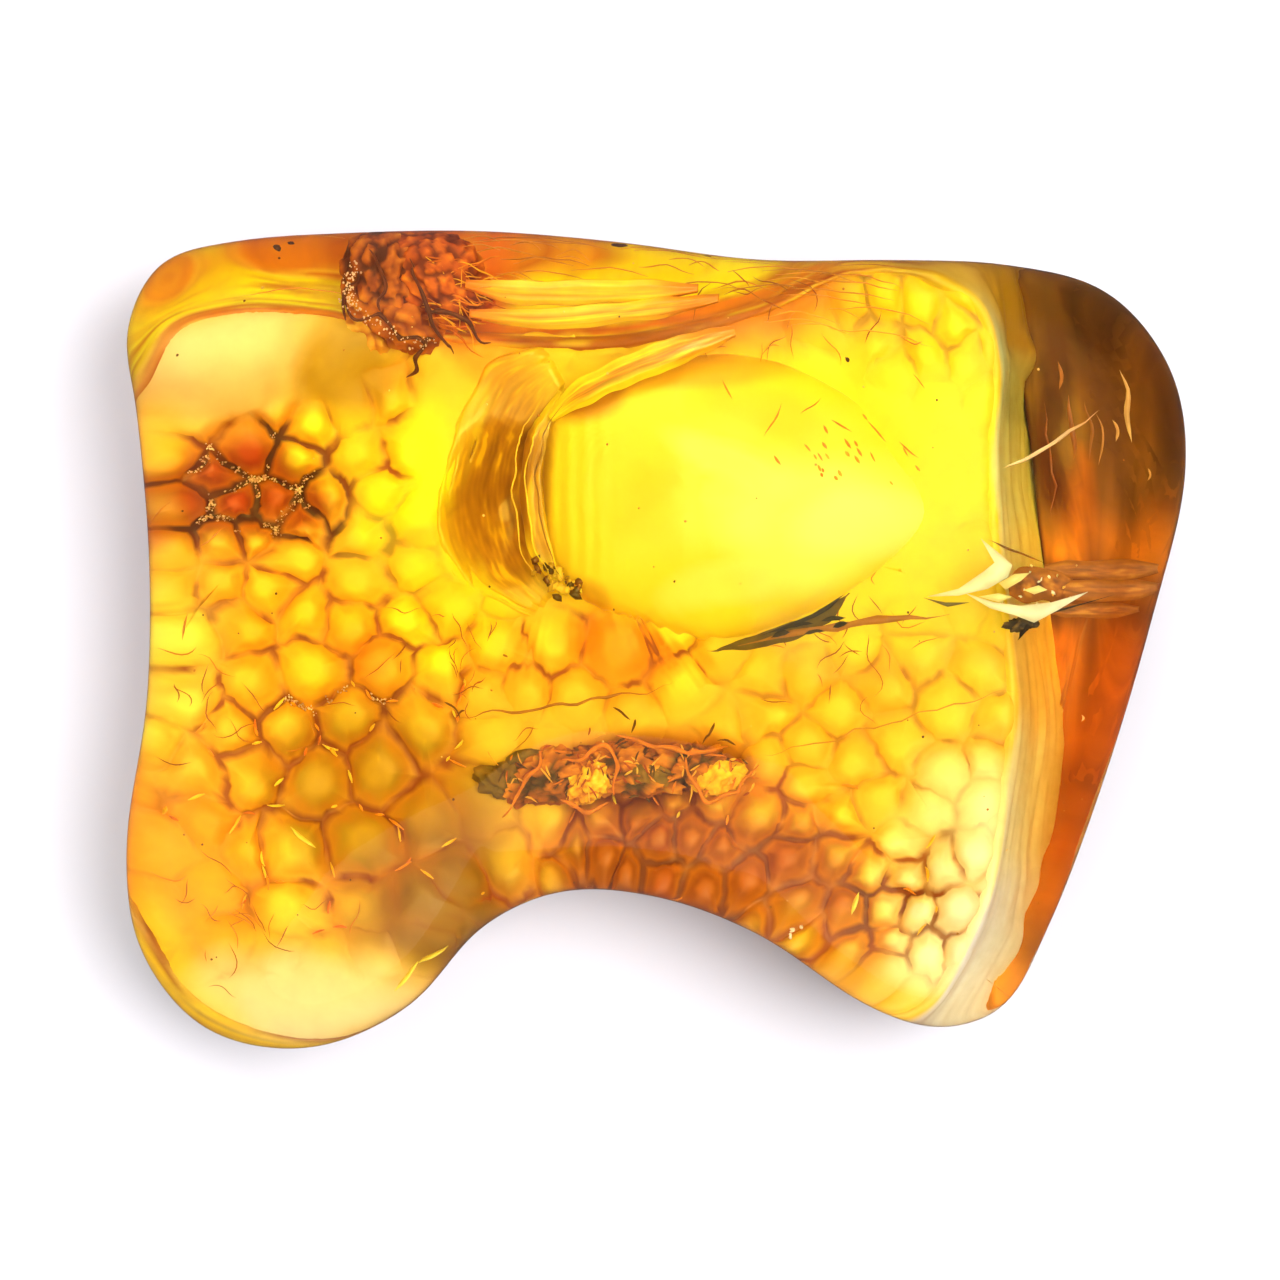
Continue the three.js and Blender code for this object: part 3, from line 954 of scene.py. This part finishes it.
def make_pit(material, inside):
    """A crusty old cavity, with dark cracks and threads running out of it."""
    pit = Sealed(inside, 11)
    cracks = [
        [(-11.1, 16.3, 9.0), (-10.9, 15.4, 9.0), (-10.3, 14.4, 8.9), (-9.7, 12.9, 8.8), (-9.1, 11.9, 8.7)],
        [(-13.7, 14.4, 8.8), (-13.3, 13.8, 8.9), (-12.0, 13.2, 8.9), (-10.8, 12.5, 8.8), (-9.9, 12.7, 8.7)],
        [(-13.6, 15.8, 8.8), (-13.8, 14.9, 8.8), (-13.7, 14.0, 8.7)],
        [(-10.4, 14.0, 8.9), (-9.6, 13.9, 8.9), (-8.6, 13.4, 8.8), (-7.4, 12.8, 8.7)],
        [(-10.2, 12.6, 8.8), (-10.8, 11.8, 8.7), (-11.2, 10.8, 8.6)],
        [(-12.6, 16.2, 8.9), (-12.2, 15.0, 8.9), (-12.4, 13.6, 8.9)],
    ]
    for crack in cracks:
        crack = [(x, y, z - 0.25) for x, y, z in crack]
        pit.strand(crack, 0.10, (0.12, 0.018, 0.008), wander=0.7, steps=9)
    for _ in range(PIT_THREADS):
        x, y = pit.rng.uniform(-10.6, -8.6), pit.rng.uniform(13.2, 16.2)
        turn, length = pit.rng.gauss(-0.25, 0.5), pit.rng.uniform(0.8, 2.6)
        way = heading(turn, -0.1) * length
        tint = pit.rng.choice([(0.60, 0.12, 0.006), (0.80, 0.24, 0.01), (0.95, 0.45, 0.02)])
        start = Vector((x, y, 8.3))
        pit.strand([start, start + way * 0.5, start + way], 0.03, tint, wander=0.3, steps=4)
    for _ in range(PIT_GRAINS):
        crack = pit.rng.choice(cracks[1:3])
        k = pit.rng.randrange(len(crack) - 1)
        place = Vector(crack[k]).lerp(Vector(crack[k + 1]), pit.rng.random())
        place += Vector((pit.rng.gauss(0, 0.14), pit.rng.gauss(0, 0.14), 0.0))
        size = pit.rng.uniform(0.02, 0.06)
        pit.lump(place, (size, size, size), (0.9, 0.62, 0.55), fineness=1)
    pit.crust((-12.4, 15.1, 7.5), (1.9, 2.0, 0.9), 10, PIT_COLOURS, rough=0.15, knobs=1.2)
    pit.crust((-9.9, 15.0, 7.5), (2.7, 1.7, 0.9), -28, EMBER_COLOURS, rough=0.12, knobs=1.3)
    pit.crust((-11.4, 13.3, 7.6), (1.8, 1.1, 0.9), -20, PIT_COLOURS[1:], rough=0.26, fineness=4)
    pit.crust((-13.2, 12.9, 7.3), (1.4, 0.8, 0.6), -25, PALE_CRUMBS, rough=0.2, knobs=1.6, fineness=4)
    return pit.finish("pit_crust", material)


def make_debris(material, inside):
    """Reddish plant debris with gold patches along the fold above the hollow between the legs."""
    litter = Sealed(inside, 5)
    frames = [
        [(-5.2, -4.2, 8.5), (-5.5, -5.2, 8.7), (-6.2, -6.2, 8.6), (-7.4, -7.0, 8.3)],
        [(-4.6, -5.0, 8.5), (-3.4, -4.6, 8.6), (-2.3, -4.3, 8.6), (-1.9, -5.2, 8.5), (-2.0, -6.4, 8.4)],
        [(-4.6, -6.6, 8.4), (-3.4, -7.0, 8.4), (-2.2, -6.7, 8.4)],
        [(1.2, -4.7, 8.5), (1.5, -5.6, 8.5), (2.4, -6.6, 8.4), (3.4, -6.2, 8.4), (4.2, -5.0, 8.3)],
        [(-1.8, -3.9, 8.5), (0.0, -4.1, 8.5), (1.6, -4.6, 8.4), (3.0, -4.4, 8.4)],
    ]
    for frame_path in frames:
        litter.strand(frame_path, 0.10, (0.74, 0.22, 0.012), wander=0.45, steps=8)
    for _ in range(SHREDS):
        x, y = litter.rng.uniform(-7.6, 4.4), -5.3 + litter.rng.gauss(0, 0.55)
        turn, length = litter.rng.uniform(0, math.tau), litter.rng.uniform(0.2, 0.8)
        way = heading(turn, 0.1) * length / 2
        middle = Vector((x, y, 8.25))
        tint = litter.rng.choice(SHRED_COLOURS)
        litter.strand(stroke(middle, way, way.yxz * 0.2), 0.045, tint, steps=2)
    for x, y, turn, length in (
        (-9.2, -2.9, -0.9, 0.9), (-8.9, -3.1, 0.6, 0.5), (-1.6, -2.9, -0.5, 0.9),
        (-1.1, -3.4, 1.2, 0.6), (2.3, -3.7, 1.1, 0.9), (3.0, -4.2, -0.3, 0.9),
    ):
        way = heading(turn) * length / 2
        splinter = stroke(Vector((x, y, 8.7)), way, Vector((0.05, 0.1, 0)))
        litter.strand(splinter, 0.05, (0.16, 0.05, 0.008), steps=3)
    for x, y, wide, high, turn in (
        (-5.0, -5.4, 2.9, 1.15, 6), (-1.4, -5.1, 3.0, 1.15, -4), (1.6, -5.1, 2.3, 1.0, -10),
    ):
        litter.crust((x, y, 7.5), (wide, high, 0.75), turn, LITTER_COLOURS, rough=0.32)
    litter.crust((-3.2, -5.7, 7.95), (1.3, 0.8, 0.36), 25, GOLD_COLOURS, rough=0.26, knobs=1.9)
    litter.crust((2.7, -5.6, 7.95), (1.2, 0.75, 0.40), 8, GOLD_COLOURS[1:], rough=0.24, knobs=1.5)
    litter.crust((-7.3, -5.7, 7.8), (1.1, 0.75, 0.4), 10, MOSS_COLOURS, rough=0.5, fineness=4)
    litter.crust((-0.4, -5.3, 7.9), (1.0, 0.6, 0.4), -12, MOSS_COLOURS, rough=0.5, fineness=4)
    litter.crust((-6.3, -4.7, 7.8), (0.8, 0.3, 0.3), 15, MOSS_COLOURS, rough=0.5, fineness=3)
    return litter.finish("plant_debris", material)


FLAKE_CRUMBS = 16
CREAM, PALE_GOLD = (1.0, 0.97, 0.70), (1.0, 0.86, 0.34)
SOOT_BLACK = [(0.02, 0.012, 0.004), (0.08, 0.045, 0.010), (0.30, 0.16, 0.03)]
TAIL_BROWN = [(0.10, 0.03, 0.006), (0.26, 0.07, 0.008), (0.50, 0.15, 0.01), (0.70, 0.30, 0.03)]


def make_fissure(dark, pale, inside):
    """A dark wedge-shaped gap that opens to the right into feathery pale flakes."""
    gap = Sealed(inside, 21)
    wedge = [(2.1, -0.3, 9.9), (4.0, 0.0, 10.0), (6.0, 0.6, 10.1), (7.4, 1.3, 10.2), (8.2, 2.1, 10.2)]
    gap.ribbon(wedge, 0.75, (0.15, 0.09, 0.012), ends=(0.01, 0.1), steps=8)
    tail = [(3.4, -0.1, 10.2), (6.4, 0.5, 10.3), (9.4, 1.0, 10.3), (12.6, 1.2, 10.3)]
    gap.ribbon(tail, 0.32, (0.42, 0.16, 0.01))
    gap.ribbon([(4.4, 0.3, 10.3), (6.6, 1.1, 10.4), (8.0, 2.0, 10.3)], 0.22, (0.03, 0.02, 0.004))
    for x, y, length in ((4.8, 0.2, 0.8), (5.6, 0.6, 1.0), (6.2, 0.3, 0.9), (6.9, 0.9, 1.1), (7.4, 0.7, 0.7)):
        splinter = [(x, y, 10.4), (x + length * 0.5, y + 0.16, 10.4), (x + length, y + 0.2, 10.4)]
        gap.ribbon(splinter, 0.2, (0.03, 0.02, 0.005))
    gap.crust((15.75, 0.82, 10.0), (0.85, 0.36, 0.16), 8, SOOT_BLACK, knobs=2.4, fineness=4)
    gap.ribbon([(14.3, 4.5, 10.3), (15.6, 3.9, 10.2), (16.8, 3.5, 10.0)], 0.10, (0.20, 0.08, 0.01))
    gap.swath(
        [(15.2, 2.4, 9.9), (16.6, 2.6, 9.7), (18.2, 2.3, 9.2)], 1.5, TAIL_BROWN,
        grain_along=1.2, grain_across=1.6, under=(0.40, 0.13, 0.01),
    )
    for y, length, wide in ((3.3, 5.2, 0.5), (2.4, 5.4, 0.55), (1.5, 4.2, 0.4)):
        gap.swath(
            [(16.8, y, 9.6), (16.8 + length / 2, y - 0.05, 8.9), (16.8 + length, y + 0.1, 8.0)],
            wide * 1.6, TAIL_BROWN, rows=16, grain_along=0.8, grain_across=2.4,
            under=(0.45, 0.15, 0.01), share=0.7,
        )
    gap.finish("fissure", dark, thickness=0.06)
    flakes = Sealed(inside, 22)
    for height, tint, outline in (
        (10.4, CREAM, [
            (14.0, 4.55), (14.7, 4.0), (15.4, 3.4), (15.2, 2.85), (14.3, 2.35), (13.0, 2.05),
            (11.6, 2.0), (13.0, 2.35), (14.1, 3.1), (14.6, 3.5),
        ]),
        (10.5, PALE_GOLD, [(14.8, 2.6), (15.5, 3.0), (16.2, 3.05), (15.8, 2.7), (15.1, 2.3)]),
        (10.5, CREAM, [
            (13.3, 2.15), (14.6, 1.75), (15.8, 1.6), (17.2, 1.75), (18.9, 2.2), (17.4, 1.35),
            (16.4, 0.85), (15.6, 1.15), (14.4, 1.5),
        ]),
        (10.6, PALE_GOLD, [(13.9, 2.0), (14.8, 2.15), (15.4, 2.0), (14.8, 1.75)]),
        (10.4, (0.16, 0.12, 0.03), [(11.4, 1.95), (12.4, 1.75), (13.5, 1.75), (12.5, 1.55)]),
        (10.5, PALE_GOLD, [(15.9, 2.3), (16.6, 2.5), (17.0, 2.3), (16.4, 2.1)]),
    ):
        flakes.shard(outline, height, tint)
    for _ in range(FLAKE_CRUMBS):
        x, y = flakes.rng.gauss(16.6, 0.9), flakes.rng.gauss(2.6, 0.6)
        size = flakes.rng.uniform(0.03, 0.08)
        tint = flakes.rng.choice([CREAM, PALE_GOLD, (0.9, 0.5, 0.06)])
        flakes.lump((x, y, 10.3), (size * 1.6, size, size * 0.5), tint, fineness=1, rough=0.8)
    flakes.finish("feather_flakes", pale, thickness=0.05)


GOLD_TICKS = 22
HAIR_CRACKS = 110
HAIRS = 95


def make_flow_lines(material, inside):
    """Thin seams where one flow of resin set before the next came over it."""
    lines = Sealed(inside, 31)
    seams = [
        ([(-9.3, -3.2, 8.6), (-6.0, -2.8, 8.7), (-2.7, -2.3, 8.8), (0.6, -1.8, 8.8)], 0.12, (0.40, 0.14, 0.01)),
        ([(3.9, -4.8, 8.8), (8.0, -3.9, 9.0), (12.0, -2.9, 8.9), (15.6, -2.0, 8.4)], 0.07, (0.60, 0.26, 0.02)),
        ([(-23.0, -12.0, 6.4), (-21.0, -15.8, 6.6), (-17.5, -17.8, 6.4)], 0.18, (0.60, 0.24, 0.02)),
    ]
    for path, width, tint in seams:
        lines.ribbon(path, width, tint, wander=0.3, steps=10)
    for x, y, turn, length in (
        (-21.6, 5.7, 40, 1.6), (-19.3, 4.6, 35, 1.4), (-20.4, 0.6, 75, 1.2),
        (5.0, 9.6, 60, 1.6), (6.6, 10.2, 40, 1.1), (7.9, 9.4, -30, 1.0),
        (9.4, 9.2, -45, 1.2), (10.8, 8.4, -40, 1.1), (3.0, 10.8, -60, 0.9),
    ):
        way = heading(math.radians(turn)) * length / 2
        lines.ribbon(stroke(Vector((x, y, 9.9)), way), 0.07, (0.62, 0.20, 0.01), steps=3)
    for _ in range(GOLD_TICKS):
        middle = Vector((lines.rng.gauss(8.4, 1.7), lines.rng.gauss(8.2, 0.5), 10.2))
        way = Vector((0.5, -0.8, 0)) * lines.rng.uniform(0.10, 0.28)
        tint = lines.rng.choice([(0.92, 0.42, 0.03), (0.80, 0.26, 0.02)])
        lines.ribbon(stroke(middle, way), 0.10, tint, steps=3)
    for _ in range(HAIR_CRACKS):
        x, y = lines.rng.choice(((-20.0, -11.5), (-18.5, -2.5), (-9.0, -1.0), (8.0, 0.0), (5.0, 13.0)))
        x, y = x + lines.rng.gauss(0, 2.2), y + lines.rng.gauss(0, 1.4)
        turn, length = lines.rng.uniform(0, math.pi), lines.rng.uniform(0.5, 1.8)
        way = heading(turn) * length / 2
        middle = Vector((x, y, cloud_height(x, y) + 0.35))
        bend = way.yxz * lines.rng.uniform(-0.5, 0.5)
        tint = lines.rng.choice([(0.42, 0.09, 0.006), (0.62, 0.20, 0.01), (0.30, 0.06, 0.006)])
        lines.ribbon(stroke(middle, way, bend), 0.045, tint, wander=0.5, steps=4)
    for path, width, palette, share in (
        ([(-8.6, 14.9, 8.9), (-6.0, 14.6, 9.0), (-2.0, 14.6, 9.0), (1.6, 14.6, 8.9)], 0.9, RED_STREAKS[1:], 0.6),
        ([(-8.4, 13.8, 9.0), (-5.0, 13.6, 9.1), (-1.0, 13.9, 9.1), (2.6, 14.2, 9.0)], 0.8, RED_STREAKS, 0.75),
    ):
        lines.swath(path, width, palette, steps=20, rows=30, grain_across=2.2, share=share)
    for _ in range(HAIRS):
        x = lines.rng.uniform(-20, 8)
        y = lines.rng.uniform(14.6, 17.6) - 2.0 * ease(x / 6.0)
        length = lines.rng.uniform(1.2, 5.0)
        z = lines.rng.uniform(6.5, 9.0)
        tint = lines.rng.choice([(0.80, 0.36, 0.02), (0.66, 0.24, 0.01), (0.50, 0.16, 0.01)])
        if -17.0 < x < -9.0:
            continue
        hair = [(x, y, z), (x + length / 2, y + 0.1, z), (x + length, y - 0.25, z)]
        lines.ribbon(hair, 0.045, tint, steps=4)
    return lines.finish("flow_lines", material, thickness=0.03)


# Bright orange and gold tints of the crack walls: painted glints.
GLINT_COLOURS = [(0.95, 0.30, 0.01), (1.0, 0.50, 0.02), (0.80, 0.18, 0.01), (1.0, 0.66, 0.06)]


def make_glints(material, inside, seams):
    """Short crack walls that stand up in the left leg, tinted bright orange and gold as painted glints."""
    walls = Sealed(inside, 41)
    near = [s for s in seams if s[0].x < -7.5 and s[0].y < -1.5 and s[0].z > 5]
    far = [s for s in seams if s[0].y < -6 and s[0].x > -7.5 and s[0].z > 5]
    for start, end in walls.rng.sample(near, 60) + walls.rng.sample(far, 14):
        way = (end - start).normalized() * walls.rng.uniform(0.12, 0.42)
        middle = start + Vector((0, 0, 0.35))
        tint = walls.rng.choice(GLINT_COLOURS)
        walls.ribbon(stroke(middle, way), 0.11, tint, stand=0.2, wander=0.3, steps=3, ends=(0.5, 0.3))
    # A few longer walls in bright gold, also painted glints.
    for x, y, turn, length in (
        (-11.6, -14.4, 0.9, 1.7), (-10.6, -13.4, 0.7, 1.2), (8.6, -11.4, 1.3, 1.0), (-15.6, -8.4, -0.7, 1.4),
    ):
        way = heading(turn) * length / 2
        walls.ribbon(stroke(Vector((x, y, 9.0)), way), 0.20, (1.0, 0.80, 0.10), stand=0.3, steps=4)
    return walls.finish("crack_glints", material, thickness=0.03)


CRACK_CRUMBS = 620


def make_crumbs(material, inside, seams):
    """Pinkish white grains along the darkest cracks."""
    grains = Sealed(inside, 51)
    spots = [(-17.6, 6.8, 3.6, 2.8, 0, 1.0), (-14.2, -2.5, 3.4, 0.7, 0, 1.0)]
    places = [start for start, _ in seams if pile(spots, start.x, start.y) > 0.25]
    places = [p for p in places if swirl(p.x, p.y, 1.3, 17.0) > -0.12]
    for _ in range(CRACK_CRUMBS):
        size = grains.rng.uniform(0.012, 0.045)
        place = grains.rng.choice(places)
        place = place + Vector((grains.rng.gauss(0, 0.07), grains.rng.gauss(0, 0.07), 0.20))
        tint = grains.rng.choice([(0.95, 0.72, 0.70), (0.80, 0.50, 0.46), (0.62, 0.34, 0.32)])
        grains.lump(place, (size * 1.4, size, size), tint, fineness=1)
    for _ in range(5):
        place = (6.4 + grains.rng.gauss(0, 0.22), -12.3 + grains.rng.gauss(0, 0.16), 8.4)
        grains.lump(place, (0.10, 0.05, 0.05), (0.90, 0.72, 0.70))
    return grains.finish("crack_crumbs", material)


DUST_GRAINS = 90


def make_specks(material, film, inside):
    """Fine dark dust and a few gold flakes in the clear amber, then pale blades at the right end and a pale
    diagonal streak across it that is a painted highlight.
    """
    dust = Sealed(inside, 61)
    for _ in range(DUST_GRAINS):
        place = (dust.rng.uniform(-21, 21), dust.rng.uniform(-14, 17), dust.rng.uniform(8.8, 11.5))
        size = dust.rng.uniform(0.025, 0.07)
        tint = dust.rng.choice([(0.14, 0.05, 0.01), (0.5, 0.2, 0.02), (0.9, 0.6, 0.15)])
        dust.lump(place, (size, size, size), tint, fineness=1)
    for x, y, size in (
        (-1.8, 17.2, 0.30), (-17.0, 16.6, 0.16), (-16.4, 16.9, 0.12), (8.2, 12.0, 0.08), (2.2, 17.3, 0.14),
    ):
        dust.lump((x, y, 9.0), (size, size * 1.3, size), (0.07, 0.02, 0.01))
    dust.finish("specks", material)
    blades = Sealed(inside, 62)
    for x, y, length, wide, tint in (
        (20.6, 10.4, 3.2, 0.30, (1.0, 0.80, 0.42)), (19.9, 9.3, 0.9, 0.13, (1.0, 0.74, 0.35)),
        (19.2, 8.9, 2.2, 0.10, (0.8, 0.5, 0.2)), (18.7, 9.2, 2.6, 0.14, (0.45, 0.22, 0.06)),
        (18.0, 9.4, 2.8, 0.22, (0.42, 0.16, 0.04)), (17.4, 11.6, 1.2, 0.16, (0.5, 0.2, 0.04)),
        (21.6, 7.4, 0.5, 0.12, (0.9, 0.6, 0.2)), (18.7, -3.4, 0.4, 0.08, (1.0, 0.7, 0.3)),
        (17.0, 8.0, 5.0, 0.10, (0.30, 0.08, 0.01)),
    ):
        way = Vector((-0.10, 1, 0.1)) * length / 2
        blade = stroke(Vector((x, y, 9.4)), way, Vector((0.12, 0, 0)))
        blades.ribbon(blade, wide, tint, wander=0.25, ends=(0, 0))
    # A pale diagonal streak across the right end: a painted highlight.
    streak = [(14.9, 7.6, 10.6), (17.0, 8.6, 10.4), (19.4, 10.2, 9.9)]
    blades.ribbon(streak, 0.16, (0.95, 0.72, 0.50), ends=(0, 0), steps=8)
    return blades.finish("pale_blades_and_highlight", film, thickness=0.03)


# Edge of the brown seam under the right-hand end, anticlockwise from its middle.
SMOKY_RIM = [
    (23.0, 5.0), (23.2, 9.0), (22.0, 12.8), (19.2, 15.2), (16.0, 15.8), (15.4, 12.4), (16.0, 8.0),
    (16.5, 2.0), (16.3, -5.0), (15.4, -11.0), (13.2, -15.4), (14.0, -17.4), (16.6, -16.6),
    (19.0, -13.0), (21.2, -6.5), (22.4, 0.0),
]
SMOKY_HEART = Vector((18.4, 2.6))
SMOKY_LEVEL = 1.6
SMOKY_TINT = (0.80, 0.28, 0.02)
SMOKY_BORDER = (0.10, 0.022, 0.006)
# Colours laid on the seam; its dark browns are partly painted shade.
SMOKY_STAINS_AND_SHADE = [
    (18.6, 10.4, 7.4, 7.4, 0, (0.24, 0.125, 0.04), 1.0),
    (18.2, 13.6, 2.6, 2.2, -20, (0.09, 0.035, 0.010), 0.9),
    (18.0, 6.0, 0.9, 3.2, 0, (0.80, 0.27, 0.015), 0.8),
    (17.0, 9.4, 1.2, 5.4, 0, (0.11, 0.026, 0.005), 1.0),
    (18.8, 2.4, 5.0, 2.1, 0, (0.18, 0.055, 0.006), 1.0),
    (18.0, -7.0, 4.4, 12.0, -12, (0.62, 0.19, 0.008), 1.0),
]


def make_brown_seam_and_shade(material, inside):
    """A thin brown seam low in the right-hand end that darkens it: partly the resin's own brown, partly painted
    shade standing for the shadow seen through the clear end.
    """
    mesh = bmesh.new()
    bmesh.ops.create_uvsphere(mesh, u_segments=120, v_segments=40, radius=1.0)
    tint = mesh.verts.layers.float_color.new("tint")
    for vert, share, x, y, rise in within_rim(mesh, SMOKY_RIM, SMOKY_HEART, 0.6):
        curl = 3.0 * ease((x - 18.5) / 4.0) * ease(share * 2 - 0.9)
        slope = 3.4 * ease((-6.0 - y) / 7.0)
        z = SMOKY_LEVEL + curl + slope + rise * 0.5 + 0.5 * swirl(x, y, 2.0, 3.0)
        vert.co = inside.tuck(Vector((x, y, z)), 0.5)
        border = ease((share - 0.88) / 0.1) * ease((18.0 - x) / 1.2) * ease((y + 12.0) / 4.0)
        colour = blend(stained_and_lit(SMOKY_TINT, SMOKY_STAINS_AND_SHADE, x, y), SMOKY_BORDER, border)
        streak = 1 + 0.7 * swirl(x * 5, y * 0.7, 3.0, 4.0) + 0.3 * swirl(x * 3, y, 0.8, 1.0)
        vert[tint] = (*(min(c * streak, 1.0) for c in colour), 1)
    bmesh.ops.recalc_face_normals(mesh, faces=mesh.faces)
    return make_piece("brown_seam_and_shade", mesh, material)


# ---------------------------------------------------------------- stage


FLOOR_HALF = 2.0
FLOOR_DROP = 0.00003  # keeps the floor just clear of the base
AIM = Vector((0, 0, 0.006))
LENS_MM = 100
SENSOR_MM = 36
FRAME_WIDTH = 0.05837  # how much the picture spans at the height of the widest outline
OUTLINE_HEIGHT = 0.0064


def make_stage():
    mesh = bmesh.new()
    bmesh.ops.create_grid(mesh, x_segments=1, y_segments=1, size=FLOOR_HALF)
    bmesh.ops.translate(mesh, verts=mesh.verts, vec=(0, 0, -FLOOR_DROP))
    data = bpy.data.meshes.new("floor")
    mesh.to_mesh(data)
    mesh.free()
    floor = bpy.data.objects.new("floor", data)
    bpy.context.scene.collection.objects.link(floor)
    paper, nodes, links, shader = fresh_material("white_card", Roughness=0.9)
    clouding = grain(nodes, links, 4)
    shade = ramp(nodes, links, clouding, (0.3, (0.41, 0.40, 0.425)), (0.7, (0.43, 0.42, 0.445)))
    links.new(shade, shader.inputs["Base Color"])
    floor.data.materials.append(paper)
    floor.visible_glossy = False


def soft_light(name, place, size, power, mirrored=True):
    lamp = bpy.data.lights.new(name, "AREA")
    lamp.shape = "DISK"
    lamp.size = size
    lamp.energy = power
    holder = bpy.data.objects.new(name, lamp)
    holder.location = place
    holder.rotation_euler = (AIM - Vector(place)).to_track_quat("-Z", "Y").to_euler()
    holder.visible_glossy = mirrored
    bpy.context.scene.collection.objects.link(holder)


def make_lights():
    """A bright room with a darker ceiling, so the polished top shows what is inside it."""
    world = bpy.data.worlds.new("bright_room")
    world.use_nodes = True
    nodes, links = world.node_tree.nodes, world.node_tree.links
    place = nodes.new("ShaderNodeTexCoord")
    split = nodes.new("ShaderNodeSeparateXYZ")
    links.new(place.outputs["Generated"], split.inputs["Vector"])
    room = ramp(
        nodes, links, split.outputs["Z"],
        (0.30, (0.26, 0.22, 0.20)), (0.50, (0.55, 0.55, 0.55)),
        (0.66, (0.42, 0.42, 0.42)), (0.86, (0.14, 0.14, 0.15)),
    )
    links.new(room, nodes["Background"].inputs["Color"])
    nodes["Background"].inputs["Strength"].default_value = ROOM_LIGHT
    bpy.context.scene.world = world
    soft_light("key_from_the_right", (0.27, 0.03, 0.60), 0.36, 7.8, mirrored=False)
    soft_light("overhead", (0.0, 0.06, 0.70), 1.20, 6.2, mirrored=False)
    soft_light("fill_from_behind", (-0.12, 0.46, 0.30), 0.44, 3.4, mirrored=False)
    soft_light("fill_from_the_front", (-0.30, -0.40, 0.24), 0.44, 2.0, mirrored=False)
    soft_light("window_below_the_legs", (0.06, -0.46, 0.42), 0.52, 0.24)


def make_camera():
    lens = bpy.data.cameras.new("overhead")
    lens.lens = LENS_MM
    lens.sensor_width = SENSOR_MM
    lens.clip_start = 0.01
    lens.clip_end = 5
    holder = bpy.data.objects.new("overhead", lens)
    holder.location = (-0.00084, 0.00002, OUTLINE_HEIGHT + FRAME_WIDTH * LENS_MM / SENSOR_MM)
    bpy.context.scene.collection.objects.link(holder)
    bpy.context.scene.camera = holder


amber = clear_amber()
skin = make_skin(amber)
inside = Inside(skin)
resin = tinted_resin("cloudy_resin")
rough_crust = tinted_resin("old_crust", roughness=0.7, mottle=0.6, scale=2400)
thin_film = tinted_resin("crack_film", roughness=0.3, mottle=0.3, scale=1500)
seams = make_cloud(resin, inside)
make_bank(tinted_resin("streaked_resin", roughness=0.4, mottle=0.3, scale=1600), inside)
make_lobe(tinted_resin("flow_resin", roughness=0.35, mottle=0.15, scale=500), inside)
make_trough(thin_film, inside)
make_pit(rough_crust, inside)
make_debris(rough_crust, inside)
make_fissure(rough_crust, thin_film, inside)
make_flow_lines(thin_film, inside)
make_glints(thin_film, inside, seams)
make_crumbs(rough_crust, inside, seams)
make_specks(rough_crust, thin_film, inside)
make_brown_seam_and_shade(tinted_resin("smoky_resin_and_shade", roughness=0.4, mottle=0.5, scale=700), inside)

make_stage()
make_lights()
make_camera()
bpy.context.scene.view_settings.view_transform = "Standard"
